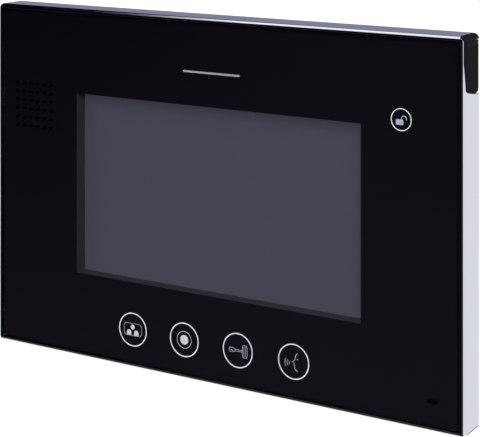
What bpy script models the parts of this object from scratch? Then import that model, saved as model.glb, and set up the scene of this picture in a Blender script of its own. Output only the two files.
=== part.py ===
"""A wall-hung video intercom monitor: a glass-fronted touch panel in a chromed frame,
with its display, speaker, microphone and boards inside, hooked on a steel wall bracket.

X runs to the viewer's right, Z up and Y into the wall. The origin is on the wall plane,
at the centre of the bracket's back. A depth is a distance behind the front of the glass.
"""

import math

import bmesh
import bpy
from mathutils import Matrix, Vector

MM = 0.001

# Overall size
TOTAL_DEPTH = 26.0 * MM
GLASS_WIDTH = 248.0 * MM
GLASS_HEIGHT = 164.0 * MM
GLASS_THICKNESS = 1.1 * MM
BAND_WALL = 2.2 * MM
BAND_DEPTH = 14.6 * MM
GAP = 0.3 * MM

# Glass edge
GLASS_BEVEL_WIDTH = 1.6 * MM
GLASS_BEVEL_DEPTH = 0.3 * MM
GLASS_CORNER = 0.5 * MM

# Frame band round the glass, and the ledge inside it
OPENING_WIDTH = GLASS_WIDTH + 2 * GAP
OPENING_HEIGHT = GLASS_HEIGHT + 2 * GAP
FRAME_WIDTH = OPENING_WIDTH + 2 * BAND_WALL
FRAME_HEIGHT = OPENING_HEIGHT + 2 * BAND_WALL
FRAME_CORNER = 2.4 * MM
LIP_RADIUS = 2.0 * MM
BACK_RIM = 0.2 * MM
LEDGE_WIDTH = 4.0 * MM
LEDGE_FRONT = 4.15 * MM
LEDGE_BACK = 5.35 * MM

# Printed film and the moulded housing behind the glass
FILM_FRONT = GLASS_THICKNESS + 0.2 * MM
FILM_BACK = FILM_FRONT + 0.25 * MM
PLATE_WIDTH = GLASS_WIDTH - 0.4 * MM
PLATE_HEIGHT = GLASS_HEIGHT - 0.4 * MM
HOUSING_FRONT = FILM_BACK + GAP
HOUSING_BACK = HOUSING_FRONT + 2.0 * MM

# Display. The print, and the parts lined up with it, sit a little left of the glass's middle.
PRINT_SHIFT = -0.9 * MM
WINDOW_CENTRE = (PRINT_SHIFT, -0.5 * MM)
WINDOW_WIDTH = 155.0 * MM
WINDOW_HEIGHT = 87.2 * MM
SKIRT_WALL = 1.4 * MM
SKIRT_BACK = 8.0 * MM
LCD_WIDTH = 165.0 * MM
LCD_HEIGHT = 100.0 * MM
LCD_FRONT = SKIRT_BACK + GAP
LCD_BACK = 14.0 * MM
LCD_SKIN = 0.5 * MM

# Touch keys: four below the window, and the lock key at the upper right
KEY_PITCH = 29.28 * MM
KEY_ROW = -66.5 * MM
KEY_CENTRES = [(PRINT_SHIFT + KEY_PITCH * (step - 1.5), KEY_ROW) for step in range(4)]
KEY_NAMES = ("intercom", "monitor", "door", "talk")
LOCK_CENTRE = (96.1 * MM, 46.7 * MM)
KEY_LENS_RADIUS = 6.3 * MM
LOCK_LENS_RADIUS = 3.9 * MM
LENS_FLANGE = 1.3 * MM
KEY_BOARD_FRONT = 5.4 * MM
KEY_BOARD_BACK = 6.4 * MM
CONNECTOR_ROW = -55.6 * MM
LCD_FLEX_X = 30.0 * MM
KEY_FLEX_X = -20.0 * MM

# Speaker and microphone
SPEAKER_CENTRE = (-104.0 * MM, 35.2 * MM)
GRILLE_PITCH = 4.2 * MM
GRILLE_HOLE = 0.7 * MM
GRILLE_COUNT = 6
GRILLE_OPENING = 25.6 * MM
CONE_CENTRE_DEPTH = 8.0 * MM
WIRE_RADIUS = 0.5 * MM
MIC_CENTRE = (111.1 * MM, -71.3 * MM)

# Boards
BOARD_WIDTH = 150.0 * MM
BOARD_HEIGHT = 118.0 * MM
BOARD_FRONT = 15.0 * MM
BOARD_BACK = 16.6 * MM
BOARD_HOLES = [(x * MM, z * MM) for x in (-68, 68) for z in (-54.5, 54.5)]
CHIP_FRONT = BOARD_BACK + GAP

# Thumbwheels behind the side flap
WHEEL_RADIUS = 5.0 * MM
WHEEL_X = 118.9 * MM
WHEEL_ROWS = (74.2 * MM, 63.8 * MM)
WHEEL_NAMES = ("volume", "brightness")
WHEEL_FRONT = 6.4 * MM
WHEEL_BACK = 8.4 * MM
WHEEL_TEETH = 20
POST_RADIUS = 1.5 * MM
POST_CLEARANCE = 0.06 * MM

# Side flap, let into the band's outer face, and the strip above it that wraps the corner
FLAP_BOTTOM = 59.0 * MM
FLAP_TOP = 81.8 * MM
FLAP_FRONT = 0.47 * MM
FLAP_BACK = BAND_DEPTH - 0.8 * MM
# Below the top edge, as (depth, Z, radius): where the front starts to lean back, the front
# corner, the lowest point and the back corner
FLAP_CORNERS = (
    (FLAP_FRONT, 73.0 * MM, 0.0),
    (1.1 * MM, 61.0 * MM, 1.2 * MM),
    (9.6 * MM, 59.0 * MM, 3.0 * MM),
    (FLAP_BACK, 59.9 * MM, 2.2 * MM),
)
FLAP_THICKNESS = 1.2 * MM
FLAP_GAP = 0.25 * MM
FINGER_WINDOW = (6.0 * MM, 12.0 * MM)
CORNER_STRIP_FRONT = FLAP_FRONT
CORNER_STRIP_BACK = BAND_DEPTH - 0.1 * MM
CORNER_STRIP_WIDTH = 2.45 * MM

# Rear cover
COVER_WIDTH = OPENING_WIDTH - 1.2 * MM
COVER_HEIGHT = OPENING_HEIGHT - 1.2 * MM
COVER_WALL = 1.6 * MM
COVER_FRONT = LEDGE_BACK + GAP
FLANGE_FRONT = 10.6 * MM
FLANGE_BACK = 13.0 * MM
TUB_WIDTH = 226.0 * MM
TUB_HEIGHT = 142.0 * MM
TUB_CORNER = 8.0 * MM
TUB_WALL = 2.0 * MM
TUB_BACK = 24.2 * MM
CASE_SCREWS = [(x * MM, z * MM) for x in (-100, 100) for z in (-74.6, 74.6)]
CASE_SCREWS += [(-116.7 * MM, 0.0), (116.7 * MM, 0.0)]
BOSS_RADIUS = 3.2 * MM
BOSS_HOLE = 1.5 * MM
VENT_GROUPS = [(x * MM, z * MM) for x in (-86, 86) for z in (-34, 34)]
VENT_COUNT = 6

# Wall bracket
BRACKET_WIDTH = 130.0 * MM
BRACKET_HEIGHT = 106.0 * MM
BRACKET_CENTRE = (0.0, -3.0 * MM)
BRACKET_FRONT = TOTAL_DEPTH - 1.2 * MM
STEEL = 1.2 * MM
HOOK_WIDTH = 12.0 * MM
HOOK_COLUMNS = (-45.0 * MM, 45.0 * MM)
HOOK_ROWS = (32.0 * MM, -38.0 * MM)
HOOK_LIP = 6.0 * MM
HOOK_FRONT = 20.6 * MM
CABLE_WINDOW = (48.0 * MM, 30.0 * MM)
CABLE_WINDOW_CENTRE = (0.0, -23.0 * MM)


def clear_scene():
    for thing in list(bpy.data.objects):
        bpy.data.objects.remove(thing, do_unlink=True)


def new_collection(name):
    collection = bpy.data.collections.new(name)
    bpy.context.scene.collection.children.link(collection)
    return collection


def new_look(name, colour, roughness, metallic=0.0, alpha=1.0):
    look = bpy.data.materials.new(name)
    look.use_nodes = True
    surface = look.node_tree.nodes["Principled BSDF"]
    surface.inputs["Base Color"].default_value = (*colour, 1.0)
    surface.inputs["Roughness"].default_value = roughness
    surface.inputs["Metallic"].default_value = metallic
    surface.inputs["Alpha"].default_value = alpha
    look.diffuse_color = (*colour, alpha)
    return look


def make_looks():
    return {
        "clear_glass": new_look("clear_glass", (0.02, 0.02, 0.03), 0.05, alpha=0.35),
        "print_film": new_look("print_film", (0.01, 0.01, 0.013), 0.3),
        "chrome": new_look("chrome", (0.82, 0.82, 0.84), 0.08, metallic=1.0),
        "housing_plastic": new_look("housing_plastic", (0.015, 0.015, 0.018), 0.5),
        "cover_plastic": new_look("cover_plastic", (0.025, 0.025, 0.028), 0.55),
        "lcd_cell": new_look("lcd_cell", (0.06, 0.06, 0.08), 0.15),
        "lcd_steel": new_look("lcd_steel", (0.55, 0.56, 0.58), 0.35, metallic=1.0),
        "lcd_tray": new_look("lcd_tray", (0.85, 0.85, 0.83), 0.5),
        "circuit_board": new_look("circuit_board", (0.02, 0.12, 0.05), 0.4),
        "light_guide": new_look("light_guide", (0.75, 0.78, 0.8), 0.3),
        "black_rubber": new_look("black_rubber", (0.02, 0.02, 0.022), 0.7),
        "foam": new_look("foam", (0.03, 0.03, 0.03), 0.95),
        "mesh_cloth": new_look("mesh_cloth", (0.01, 0.01, 0.01), 0.9),
        "cone_paper": new_look("cone_paper", (0.05, 0.045, 0.04), 0.85),
        "copper_coil": new_look("copper_coil", (0.72, 0.35, 0.15), 0.4, metallic=1.0),
        "plated_steel": new_look("plated_steel", (0.6, 0.61, 0.63), 0.35, metallic=1.0),
        "component_black": new_look("component_black", (0.02, 0.02, 0.02), 0.45),
        "connector_nylon": new_look("connector_nylon", (0.82, 0.8, 0.74), 0.5),
        "flex_film": new_look("flex_film", (0.6, 0.3, 0.06), 0.35),
        "red_wire": new_look("red_wire", (0.55, 0.02, 0.02), 0.45),
        "black_wire": new_look("black_wire", (0.02, 0.02, 0.02), 0.45),
        "capacitor_sleeve": new_look("capacitor_sleeve", (0.75, 0.76, 0.78), 0.3, metallic=1.0),
    }


def y_of(distance):
    """The Y coordinate of a plane this far behind the front of the glass."""
    return distance - TOTAL_DEPTH


def add_object(name, data, look, location=(0.0, 0.0, 0.0), rotation=(0.0, 0.0, 0.0)):
    """A new object. Without a look it is a cutter, which only shapes other pieces."""
    thing = bpy.data.objects.new(name, data)
    thing.location = location
    thing.rotation_euler = rotation
    if look is None:
        cutters.objects.link(thing)
        thing.hide_render = True
        thing.display_type = "WIRE"
    else:
        parts.objects.link(thing)
        data.materials.append(looks[look])
    return thing


def mesh_from(shape, name):
    mesh = bpy.data.meshes.new(name)
    shape.to_mesh(mesh)
    shape.free()
    return mesh


def smooth(mesh, angle=math.radians(35)):
    mesh.shade_smooth()
    mesh.set_sharp_from_angle(angle=angle)


def runs_along_y(edge):
    across = edge.verts[0].co - edge.verts[1].co
    return abs(across.x) < 1e-7 and abs(across.z) < 1e-7


def lies_at(edge, y):
    return all(abs(corner.co.y - y) < 1e-7 for corner in edge.verts)


def bevel(shape, edges, radius, steps):
    bmesh.ops.bevel(
        shape,
        geom=edges,
        offset=radius,
        offset_type="OFFSET",
        segments=steps,
        profile=0.5,
        affect="EDGES",
    )


def slab(
    name, look, size, front, back, centre=(0.0, 0.0), corner=0.0, steps=3, rims=(0.0, 0.0),
    rim_steps=2,
):
    """A block facing the room between two depths, with rounded corners, and rounded front
    and back rims."""
    shape = bmesh.new()
    thickness = back - front
    bmesh.ops.create_cube(shape, size=1.0)
    bmesh.ops.scale(shape, vec=(size[0], thickness, size[1]), verts=shape.verts)
    if corner:
        bevel(shape, [edge for edge in shape.edges if runs_along_y(edge)], corner, steps)
    for radius, y in zip(rims, (-thickness / 2, thickness / 2)):
        if radius:
            bevel(shape, [edge for edge in shape.edges if lies_at(edge, y)], radius, rim_steps)
    mesh = mesh_from(shape, name)
    smooth(mesh)
    return add_object(name, mesh, look, (centre[0], y_of((front + back) / 2), centre[1]))


def drum(name, look, radius, front, back, centre, sides=24):
    """A cylinder whose axis points at the room."""
    shape = bmesh.new()
    bmesh.ops.create_cone(
        shape,
        cap_ends=True,
        segments=sides,
        radius1=radius,
        radius2=radius,
        depth=back - front,
        matrix=Matrix.Rotation(math.pi / 2, 4, "X"),
    )
    mesh = mesh_from(shape, name)
    smooth(mesh)
    return add_object(name, mesh, look, (centre[0], y_of((front + back) / 2), centre[1]))


def turned(name, look, profile, centre, sides=24, closed=False):
    """A shape turned about an axis that points at the room. The profile's (radius, depth)
    points run towards the wall on the outside."""
    shape = bmesh.new()
    corners = [shape.verts.new((radius, 0.0, -distance)) for radius, distance in profile]
    for start, end in zip(corners, corners[1:]):
        shape.edges.new((start, end))
    if closed:
        shape.edges.new((corners[-1], corners[0]))
    place = (centre[0], y_of(0.0), centre[1])
    thing = add_object(name, mesh_from(shape, name), look, place, (math.pi / 2, 0.0, 0.0))
    spin = thing.modifiers.new("turn", "SCREW")
    spin.steps = sides
    spin.render_steps = sides
    spin.use_merge_vertices = True
    spin.merge_threshold = 1e-6
    spin.use_smooth_shade = True
    return thing


def combine(target, operation, others):
    """One Boolean modifier that takes all the other objects at once."""
    group = bpy.data.collections.new(f"{target.name}_{operation.lower()}")
    cutters.children.link(group)
    for other in others:
        cutters.objects.unlink(other)
        group.objects.link(other)
    boolean = target.modifiers.new(operation.lower(), "BOOLEAN")
    boolean.operation = operation
    boolean.operand_type = "COLLECTION"
    boolean.collection = group
    boolean.solver = "EXACT"
    return target


def cut(target, *others):
    return combine(target, "DIFFERENCE", others)


def join(target, *others):
    return combine(target, "UNION", others)


def keep_inside(target, other):
    return combine(target, "INTERSECT", [other])


def settled(thing):
    """The object with its modifiers made part of its mesh, so that copies can share it."""
    bpy.context.view_layer.update()
    graph = bpy.context.evaluated_depsgraph_get()
    mesh = bpy.data.meshes.new_from_object(thing.evaluated_get(graph))
    mesh.name = thing.name
    thing.modifiers.clear()
    thing.data = mesh
    return thing


def copy_at(thing, name, centre):
    copy = bpy.data.objects.new(name, thing.data)
    copy.location = (centre[0], thing.location.y, centre[1])
    copy.rotation_euler = thing.rotation_euler
    parts.objects.link(copy)
    return copy


def fillet(corners, steps=5):
    """A closed outline from (x, y, radius) corners, each rounded by its radius."""
    points = []
    for index, (x, y, radius) in enumerate(corners):
        here = Vector((x, y))
        before = (Vector(corners[index - 1][:2]) - here).normalized()
        after = (Vector(corners[(index + 1) % len(corners)][:2]) - here).normalized()
        if radius == 0.0:
            points.append((x, y))
            continue
        half = before.angle(after) / 2
        centre = here + (before + after).normalized() * radius / math.sin(half)
        start = here + before * radius / math.tan(half) - centre
        sweep = math.pi - 2 * half
        turn = sweep if start.x * (here - centre).y - start.y * (here - centre).x > 0 else -sweep
        for step in range(steps + 1):
            angle = turn * step / steps
            points.append((
                centre.x + start.x * math.cos(angle) - start.y * math.sin(angle),
                centre.y + start.x * math.sin(angle) + start.y * math.cos(angle),
            ))
    return points


def flat_outline(name, look, outlines, thickness, location, rotation):
    """A plate cut to flat outlines, where an outline inside another is a hole. The curve is
    made a mesh, because pieces are cut from it."""
    curve = bpy.data.curves.new(name, "CURVE")
    curve.dimensions = "2D"
    curve.fill_mode = "BOTH"
    curve.extrude = thickness / 2
    for outline in outlines:
        spline = curve.splines.new("POLY")
        spline.points.add(len(outline) - 1)
        for point, (x, y) in zip(spline.points, outline):
            point.co = (x, y, 0.0, 1.0)
        spline.use_cyclic_u = True
    guide = bpy.data.objects.new(name + "_outline", curve)
    bpy.context.scene.collection.objects.link(guide)
    bpy.context.view_layer.update()
    graph = bpy.context.evaluated_depsgraph_get()
    mesh = bpy.data.meshes.new_from_object(guide.evaluated_get(graph))
    bpy.data.objects.remove(guide)
    shape = bmesh.new()
    shape.from_mesh(mesh)
    bmesh.ops.remove_doubles(shape, verts=shape.verts, dist=1e-6)
    bmesh.ops.recalc_face_normals(shape, faces=shape.faces)
    shape.to_mesh(mesh)
    shape.free()
    mesh.name = name
    mesh.materials.clear()
    smooth(mesh)
    return add_object(name, mesh, look, location, rotation)


def wire(name, look, path):
    """A wire through (x, depth, z) points in millimetres."""
    curve = bpy.data.curves.new(name, "CURVE")
    curve.dimensions = "3D"
    curve.bevel_depth = WIRE_RADIUS
    curve.bevel_resolution = 2
    curve.use_fill_caps = True
    spline = curve.splines.new("POLY")
    spline.points.add(len(path) - 1)
    for point, (x, distance, z) in zip(spline.points, path):
        point.co = (x * MM, y_of(distance * MM), z * MM, 1.0)
    return add_object(name, curve, look)


def ribbon(name, look, width, x, path):
    """A flat cable that keeps its width along X and follows (depth, z) points."""
    curve = bpy.data.curves.new(name, "CURVE")
    curve.dimensions = "2D"
    curve.fill_mode = "NONE"
    curve.extrude = width / 2
    spline = curve.splines.new("POLY")
    spline.points.add(len(path) - 1)
    for point, (distance, z) in zip(spline.points, path):
        point.co = (y_of(distance), z, 0.0, 1.0)
    thing = add_object(name, curve, look, (x, 0.0, 0.0), (math.pi / 2, 0.0, math.pi / 2))
    body = thing.modifiers.new("thickness", "SOLIDIFY")
    body.thickness = 0.25 * MM
    body.offset = 0.0
    return thing


def hole_grid():
    """The grille's drills, six by six."""
    shape = bmesh.new()
    middle = (GRILLE_COUNT - 1) / 2
    for column in range(GRILLE_COUNT):
        for row in range(GRILLE_COUNT):
            place = Vector(((column - middle) * GRILLE_PITCH, 0.0, (row - middle) * GRILLE_PITCH))
            bmesh.ops.create_cone(
                shape,
                cap_ends=True,
                segments=10,
                radius1=GRILLE_HOLE,
                radius2=GRILLE_HOLE,
                depth=6 * MM,
                matrix=Matrix.Translation(place) @ Matrix.Rotation(math.pi / 2, 4, "X"),
            )
    place = (SPEAKER_CENTRE[0], y_of(0.0), SPEAKER_CENTRE[1])
    return add_object("grille_drills", mesh_from(shape, "grille_drills"), None, place)


def make_glass():
    """The cover glass, with a shallow ground bevel round its front."""
    glass = slab(
        "front_glass", "clear_glass", (GLASS_WIDTH, GLASS_HEIGHT), GLASS_BEVEL_DEPTH, GLASS_THICKNESS,
        corner=GLASS_CORNER, steps=2,
    )
    shape = bmesh.new()
    shape.from_mesh(glass.data)
    face = min(shape.faces, key=lambda candidate: candidate.calc_center_median().y)
    raised = bmesh.ops.extrude_face_region(shape, geom=[face])["geom"]
    rim = [corner for corner in raised if isinstance(corner, bmesh.types.BMVert)]
    shrink_x = 1 - 2 * GLASS_BEVEL_WIDTH / GLASS_WIDTH
    shrink_z = 1 - 2 * GLASS_BEVEL_WIDTH / GLASS_HEIGHT
    bmesh.ops.scale(shape, vec=(shrink_x, 1.0, shrink_z), verts=rim)
    bmesh.ops.translate(shape, vec=(0.0, -GLASS_BEVEL_DEPTH, 0.0), verts=rim)
    bmesh.ops.delete(shape, geom=[face], context="FACES_ONLY")
    shape.to_mesh(glass.data)
    shape.free()
    smooth(glass.data, math.radians(5))
    slot_size = (4.2 * MM, 1.7 * MM)
    slot = slab("mic_slot", None, slot_size, -2 * MM, 3 * MM, MIC_CENTRE, corner=0.84 * MM)
    cut(glass, hole_grid(), slot)


def make_film():
    """The printed film under the glass, with its window and its openings for sound."""
    film = slab(
        "graphic_film", "print_film", (PLATE_WIDTH, PLATE_HEIGHT), FILM_FRONT, FILM_BACK,
        corner=GLASS_CORNER, steps=2,
    )
    cut(
        film,
        slab("film_window", None, (WINDOW_WIDTH, WINDOW_HEIGHT), 0.0, 3 * MM, WINDOW_CENTRE),
        slab("film_speaker", None, (24 * MM, 24 * MM), 0.0, 3 * MM, SPEAKER_CENTRE),
        slab("film_mic", None, (5 * MM, 2.5 * MM), 0.0, 3 * MM, MIC_CENTRE),
    )


def make_band_solid(name, look):
    """The band before it is hollowed: its outer shape, with the rounded lip."""
    return slab(
        name, look, (FRAME_WIDTH, FRAME_HEIGHT), 0.0, BAND_DEPTH,
        corner=FRAME_CORNER, steps=4, rims=(LIP_RADIUS, BACK_RIM), rim_steps=4,
    )


def make_side_plate(name, look, outline, inner_x):
    """A plate upright in the band's right side, from a (y, z) outline, reaching past the band."""
    thickness = FRAME_WIDTH / 2 + 2 * MM - inner_x
    middle = (inner_x + thickness / 2, 0.0, 0.0)
    return flat_outline(name, look, [outline], thickness, middle, (math.pi / 2, 0.0, math.pi / 2))


def make_flap_notch():
    """The recess for the flap: the flap's outline grown by its gap, open at the band's back."""
    front = y_of(FLAP_FRONT - FLAP_GAP)
    behind = y_of(BAND_DEPTH + MM)
    bottom = FLAP_BOTTOM - FLAP_GAP
    top = FRAME_HEIGHT / 2 + 4 * MM
    lean, corner, lowest, _ = FLAP_CORNERS
    outline = [
        (front, top, 0.0),
        (front, lean[1], 0.0),
        (y_of(corner[0] - FLAP_GAP), corner[1] - FLAP_GAP, corner[2] + FLAP_GAP),
        (y_of(lowest[0]), bottom, lowest[2] + FLAP_GAP),
        (behind, bottom, 0.0),
        (behind, top, 0.0),
    ]
    inner_x = FRAME_WIDTH / 2 - FLAP_THICKNESS - FLAP_GAP
    return make_side_plate("flap_notch", None, fillet(outline), inner_x)


def make_frame():
    """The chromed band, with the ledge that the housing and the cover are clamped on."""
    frame = make_band_solid("chrome_frame", "chrome")
    opening = (OPENING_WIDTH, OPENING_HEIGHT)
    inside = (OPENING_WIDTH - 2 * LEDGE_WIDTH, OPENING_HEIGHT - 2 * LEDGE_WIDTH)
    inner_corner = GLASS_CORNER + GAP
    cut(
        frame,
        slab("frame_front_pocket", None, opening, -3 * MM, LEDGE_FRONT, corner=inner_corner, steps=2),
        slab("frame_back_pocket", None, opening, LEDGE_BACK, 20 * MM, corner=inner_corner, steps=2),
        slab("frame_inside", None, inside, -2 * MM, 19 * MM),
    )
    corner_reach = 8 * MM
    strip_left = FRAME_WIDTH / 2 - CORNER_STRIP_WIDTH - FLAP_GAP
    corner_centre = (strip_left + corner_reach / 2, FLAP_TOP + FLAP_GAP + corner_reach / 2)
    corner_notch = slab(
        "frame_corner_notch", None, (corner_reach, corner_reach), CORNER_STRIP_FRONT - FLAP_GAP,
        BAND_DEPTH + MM, corner_centre,
    )
    window_height = FLAP_TOP - FLAP_BOTTOM - 3 * MM
    window_centre = (FRAME_WIDTH / 2, (FLAP_TOP + FLAP_BOTTOM) / 2)
    finger_window = slab(
        "frame_finger_window", None, (4 * MM, window_height), *FINGER_WINDOW, window_centre
    )
    cut(frame, make_flap_notch(), corner_notch, finger_window)


def make_housing():
    """The moulded plate behind the film: window skirt, screw bosses and key openings."""
    housing = slab(
        "front_housing", "housing_plastic", (PLATE_WIDTH, PLATE_HEIGHT), HOUSING_FRONT, HOUSING_BACK,
        corner=GLASS_CORNER, steps=2,
    )
    skirt = (WINDOW_WIDTH + 2 * SKIRT_WALL, WINDOW_HEIGHT + 2 * SKIRT_WALL)
    inside_plate = HOUSING_FRONT + MM
    grown = [slab("housing_skirt", None, skirt, inside_plate, SKIRT_BACK, WINDOW_CENTRE)]
    grown += [
        drum(f"housing_boss_{index}", None, BOSS_RADIUS, inside_plate, FLANGE_FRONT - GAP, centre)
        for index, centre in enumerate(CASE_SCREWS)
    ]
    join(housing, *grown)
    window = (WINDOW_WIDTH, WINDOW_HEIGHT)
    opening = (GRILLE_OPENING, GRILLE_OPENING)
    holes = [
        slab("housing_window", None, window, 0.0, SKIRT_BACK + MM, WINDOW_CENTRE),
        slab("housing_speaker_opening", None, opening, 0.0, 6 * MM, SPEAKER_CENTRE),
        drum("housing_mic_hole", None, 2.0 * MM, 0.0, 6 * MM, MIC_CENTRE, 16),
        drum("housing_lock_hole", None, LOCK_LENS_RADIUS + GAP, 0.0, 6 * MM, LOCK_CENTRE, 24),
    ]
    holes += [
        drum(f"housing_key_hole_{name}", None, KEY_LENS_RADIUS + GAP, 0.0, 6 * MM, centre)
        for name, centre in zip(KEY_NAMES, KEY_CENTRES)
    ]
    holes += [
        drum(f"housing_screw_hole_{index}", None, BOSS_HOLE, 5 * MM, 12 * MM, centre, 16)
        for index, centre in enumerate(CASE_SCREWS)
    ]
    cut(housing, *holes)


def make_key_lens(name, radius, centre):
    """A light guide: a disc in the housing's opening, on a wider foot behind it."""
    foot_front = HOUSING_BACK + GAP
    foot_back = KEY_BOARD_FRONT - GAP
    profile = [
        (0.0, HOUSING_FRONT),
        (radius, HOUSING_FRONT),
        (radius, foot_front),
        (radius + LENS_FLANGE, foot_front),
        (radius + LENS_FLANGE, foot_back),
        (0.0, foot_back),
    ]
    return turned(name, "light_guide", profile, centre)


def make_keys():
    """Light guides and sensing boards of the touch keys, and the ribbon from the long one."""
    first = settled(make_key_lens(f"{KEY_NAMES[0]}_key_lens", KEY_LENS_RADIUS, KEY_CENTRES[0]))
    for name, centre in list(zip(KEY_NAMES, KEY_CENTRES))[1:]:
        copy_at(first, f"{name}_key_lens", centre)
    make_key_lens("lock_key_lens", LOCK_LENS_RADIUS, LOCK_CENTRE)
    row_centre = (PRINT_SHIFT, KEY_ROW + 0.5 * MM)
    slab(
        "touch_key_board", "circuit_board", (112 * MM, 20 * MM), KEY_BOARD_FRONT, KEY_BOARD_BACK,
        row_centre, corner=1 * MM, steps=2,
    )
    slab(
        "lock_key_board", "circuit_board", (18 * MM, 16 * MM), KEY_BOARD_FRONT, KEY_BOARD_BACK,
        LOCK_CENTRE, corner=1 * MM, steps=2,
    )
    path = [(7.0, -64.0), (7.0, -58.0), (8.2, -56.2), (10.0, -55.6), (12.0, -55.6)]
    path = [(distance * MM, z * MM) for distance, z in path]
    ribbon("key_ribbon", "flex_film", 12 * MM, KEY_FLEX_X, path)
    wire("lock_key_wire", "red_wire", [
        (92, 7.2, 42), (89, 10, 38), (87, 14, 34), (84, 16.6, 30), (78, 17.7, 27), (70, 17.7, 26),
    ])


def make_display():
    """Steel bezel, liquid-crystal cell and backlight tray, lined up with the window."""
    bezel = slab(
        "lcd_bezel", "lcd_steel", (LCD_WIDTH, LCD_HEIGHT), LCD_FRONT, LCD_BACK, WINDOW_CENTRE,
        corner=MM, steps=1,
    )
    inside = (LCD_WIDTH - 2 * LCD_SKIN, LCD_HEIGHT - 2 * LCD_SKIN)
    view = (WINDOW_WIDTH + 0.6 * MM, WINDOW_HEIGHT + 0.8 * MM)
    bottom = WINDOW_CENTRE[1] - LCD_HEIGHT / 2
    cell_front = LCD_FRONT + LCD_SKIN + GAP
    cell_back = cell_front + 1.4 * MM
    cavity_front = LCD_FRONT + LCD_SKIN
    flex_slot = (34 * MM, 4 * MM)
    cut(
        bezel,
        slab("bezel_view", None, view, LCD_FRONT - MM, LCD_FRONT + 2 * MM, WINDOW_CENTRE),
        slab("bezel_cavity", None, inside, cavity_front, LCD_BACK + MM, WINDOW_CENTRE),
        slab("bezel_flex_slot", None, flex_slot, cell_front, LCD_BACK + 2 * MM, (LCD_FLEX_X, bottom)),
    )
    cell = (inside[0] - 2 * GAP, inside[1] - 2 * GAP)
    slab("lcd_panel", "lcd_cell", cell, cell_front, cell_back, WINDOW_CENTRE)
    slab(
        "lcd_backlight", "lcd_tray", cell, cell_back + GAP, LCD_BACK - 0.2 * MM, WINDOW_CENTRE,
        corner=MM, steps=1, rims=(0.0, 0.5 * MM),
    )
    path = [(9.8, -49.9), (9.9, -51.4), (11.2, -52.2), (13.0, -52.4), (13.5, -52.9), (13.5, -53.5)]
    ribbon("lcd_ribbon", "flex_film", 30 * MM, LCD_FLEX_X, [(d * MM, z * MM) for d, z in path])
    for name, x, width in (
        ("lcd_connector", LCD_FLEX_X, 32 * MM),
        ("key_connector", KEY_FLEX_X, 14 * MM),
    ):
        slab(
            name, "connector_nylon", (width, 3.5 * MM), 12.4 * MM, BOARD_FRONT - GAP,
            (x, CONNECTOR_ROW), corner=0.4 * MM, steps=1,
        )


def make_header(name, centre, ways):
    """A socket open towards the wall, with a row of square pins in it."""
    pitch = 2.5 * MM
    width = (ways + 1) * pitch + 1.5 * MM
    back = TUB_BACK - 0.2 * MM
    floor = CHIP_FRONT + 1.6 * MM
    socket = slab(name, "connector_nylon", (width, 7 * MM), CHIP_FRONT, back, centre)
    hollow = (width - 1.8 * MM, 5.2 * MM)
    cut(socket, slab(name + "_hollow", None, hollow, floor, back + MM, centre))
    pins = []
    for way in range(ways):
        place = (centre[0] + (way - (ways - 1) / 2) * pitch, centre[1])
        pin = (0.64 * MM, 0.64 * MM)
        pins.append(slab(f"{name}_pin_{way}", None, pin, floor - MM, back - 1.5 * MM, place))
    join(socket, *pins)


def make_can(name, radius, height, centre):
    """A standing capacitor or coil, its upper edge rolled in."""
    back = CHIP_FRONT + height
    profile = [
        (0.0, CHIP_FRONT),
        (radius, CHIP_FRONT),
        (radius, back - 0.6 * MM),
        (radius - 0.6 * MM, back),
        (0.0, back),
    ]
    look = "component_black" if "inductor" in name else "capacitor_sleeve"
    return turned(name, look, profile, centre, 20)


def make_boards():
    board = slab(
        "main_board", "circuit_board", (BOARD_WIDTH, BOARD_HEIGHT), BOARD_FRONT, BOARD_BACK,
        corner=2 * MM, steps=2,
    )
    cut(board, *[
        drum(f"board_hole_{index}", None, 1.35 * MM, BOARD_FRONT - MM, BOARD_BACK + MM, centre, 16)
        for index, centre in enumerate(BOARD_HOLES)
    ])
    make_header("door_connector", (-13 * MM, -26 * MM), 4)
    make_header("power_connector", (10 * MM, -26 * MM), 2)
    for name, size, centre in (
        ("video_processor", (14 * MM, 14 * MM), (18 * MM, 12 * MM)),
        ("audio_amplifier", (6 * MM, 5 * MM), (-58 * MM, 10 * MM)),
    ):
        chip_back = CHIP_FRONT + 1.4 * MM
        slab(name, "component_black", size, CHIP_FRONT, chip_back, centre, rims=(0.0, 0.2 * MM))
    shield = (CHIP_FRONT, CHIP_FRONT + 2.6 * MM)
    slab(
        "shield_can", "plated_steel", (28 * MM, 20 * MM), *shield, (-14 * MM, 12 * MM),
        corner=0.8 * MM, steps=1, rims=(0.0, 0.4 * MM),
    )
    make_can("power_inductor", 4.6 * MM, 4.0 * MM, (31 * MM, -8 * MM))
    make_can("filter_capacitor_1", 3.1 * MM, 4.6 * MM, (30 * MM, -25 * MM))
    make_can("filter_capacitor_2", 3.1 * MM, 4.6 * MM, (-31 * MM, -25 * MM))


def make_screw(name, centre, head_radius, shank_radius, head_end, head_face, tip):
    """A pan-head screw with a cross recess. It points at the room when its tip is nearer."""
    toward = 1 if tip > head_end else -1
    outside = [
        (0.0, head_end),
        (head_radius - 0.4 * MM, head_end),
        (head_radius, head_end + toward * 0.5 * MM),
        (head_radius, head_face),
        (shank_radius, head_face),
        (shank_radius, tip - toward * 0.8 * MM),
        (0.0, tip),
    ]
    profile = outside if toward > 0 else outside[::-1]
    screw = turned(name, "plated_steel", profile, centre, 12)
    ends = sorted((head_end - toward * MM, head_end + toward * 0.8 * MM))
    arms = ((2.4 * MM, 0.6 * MM), (0.6 * MM, 2.4 * MM))
    cut(screw, *[
        slab(f"{name}_recess_{arm}", None, size, *ends, centre) for arm, size in enumerate(arms)
    ])
    return settled(screw)


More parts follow.
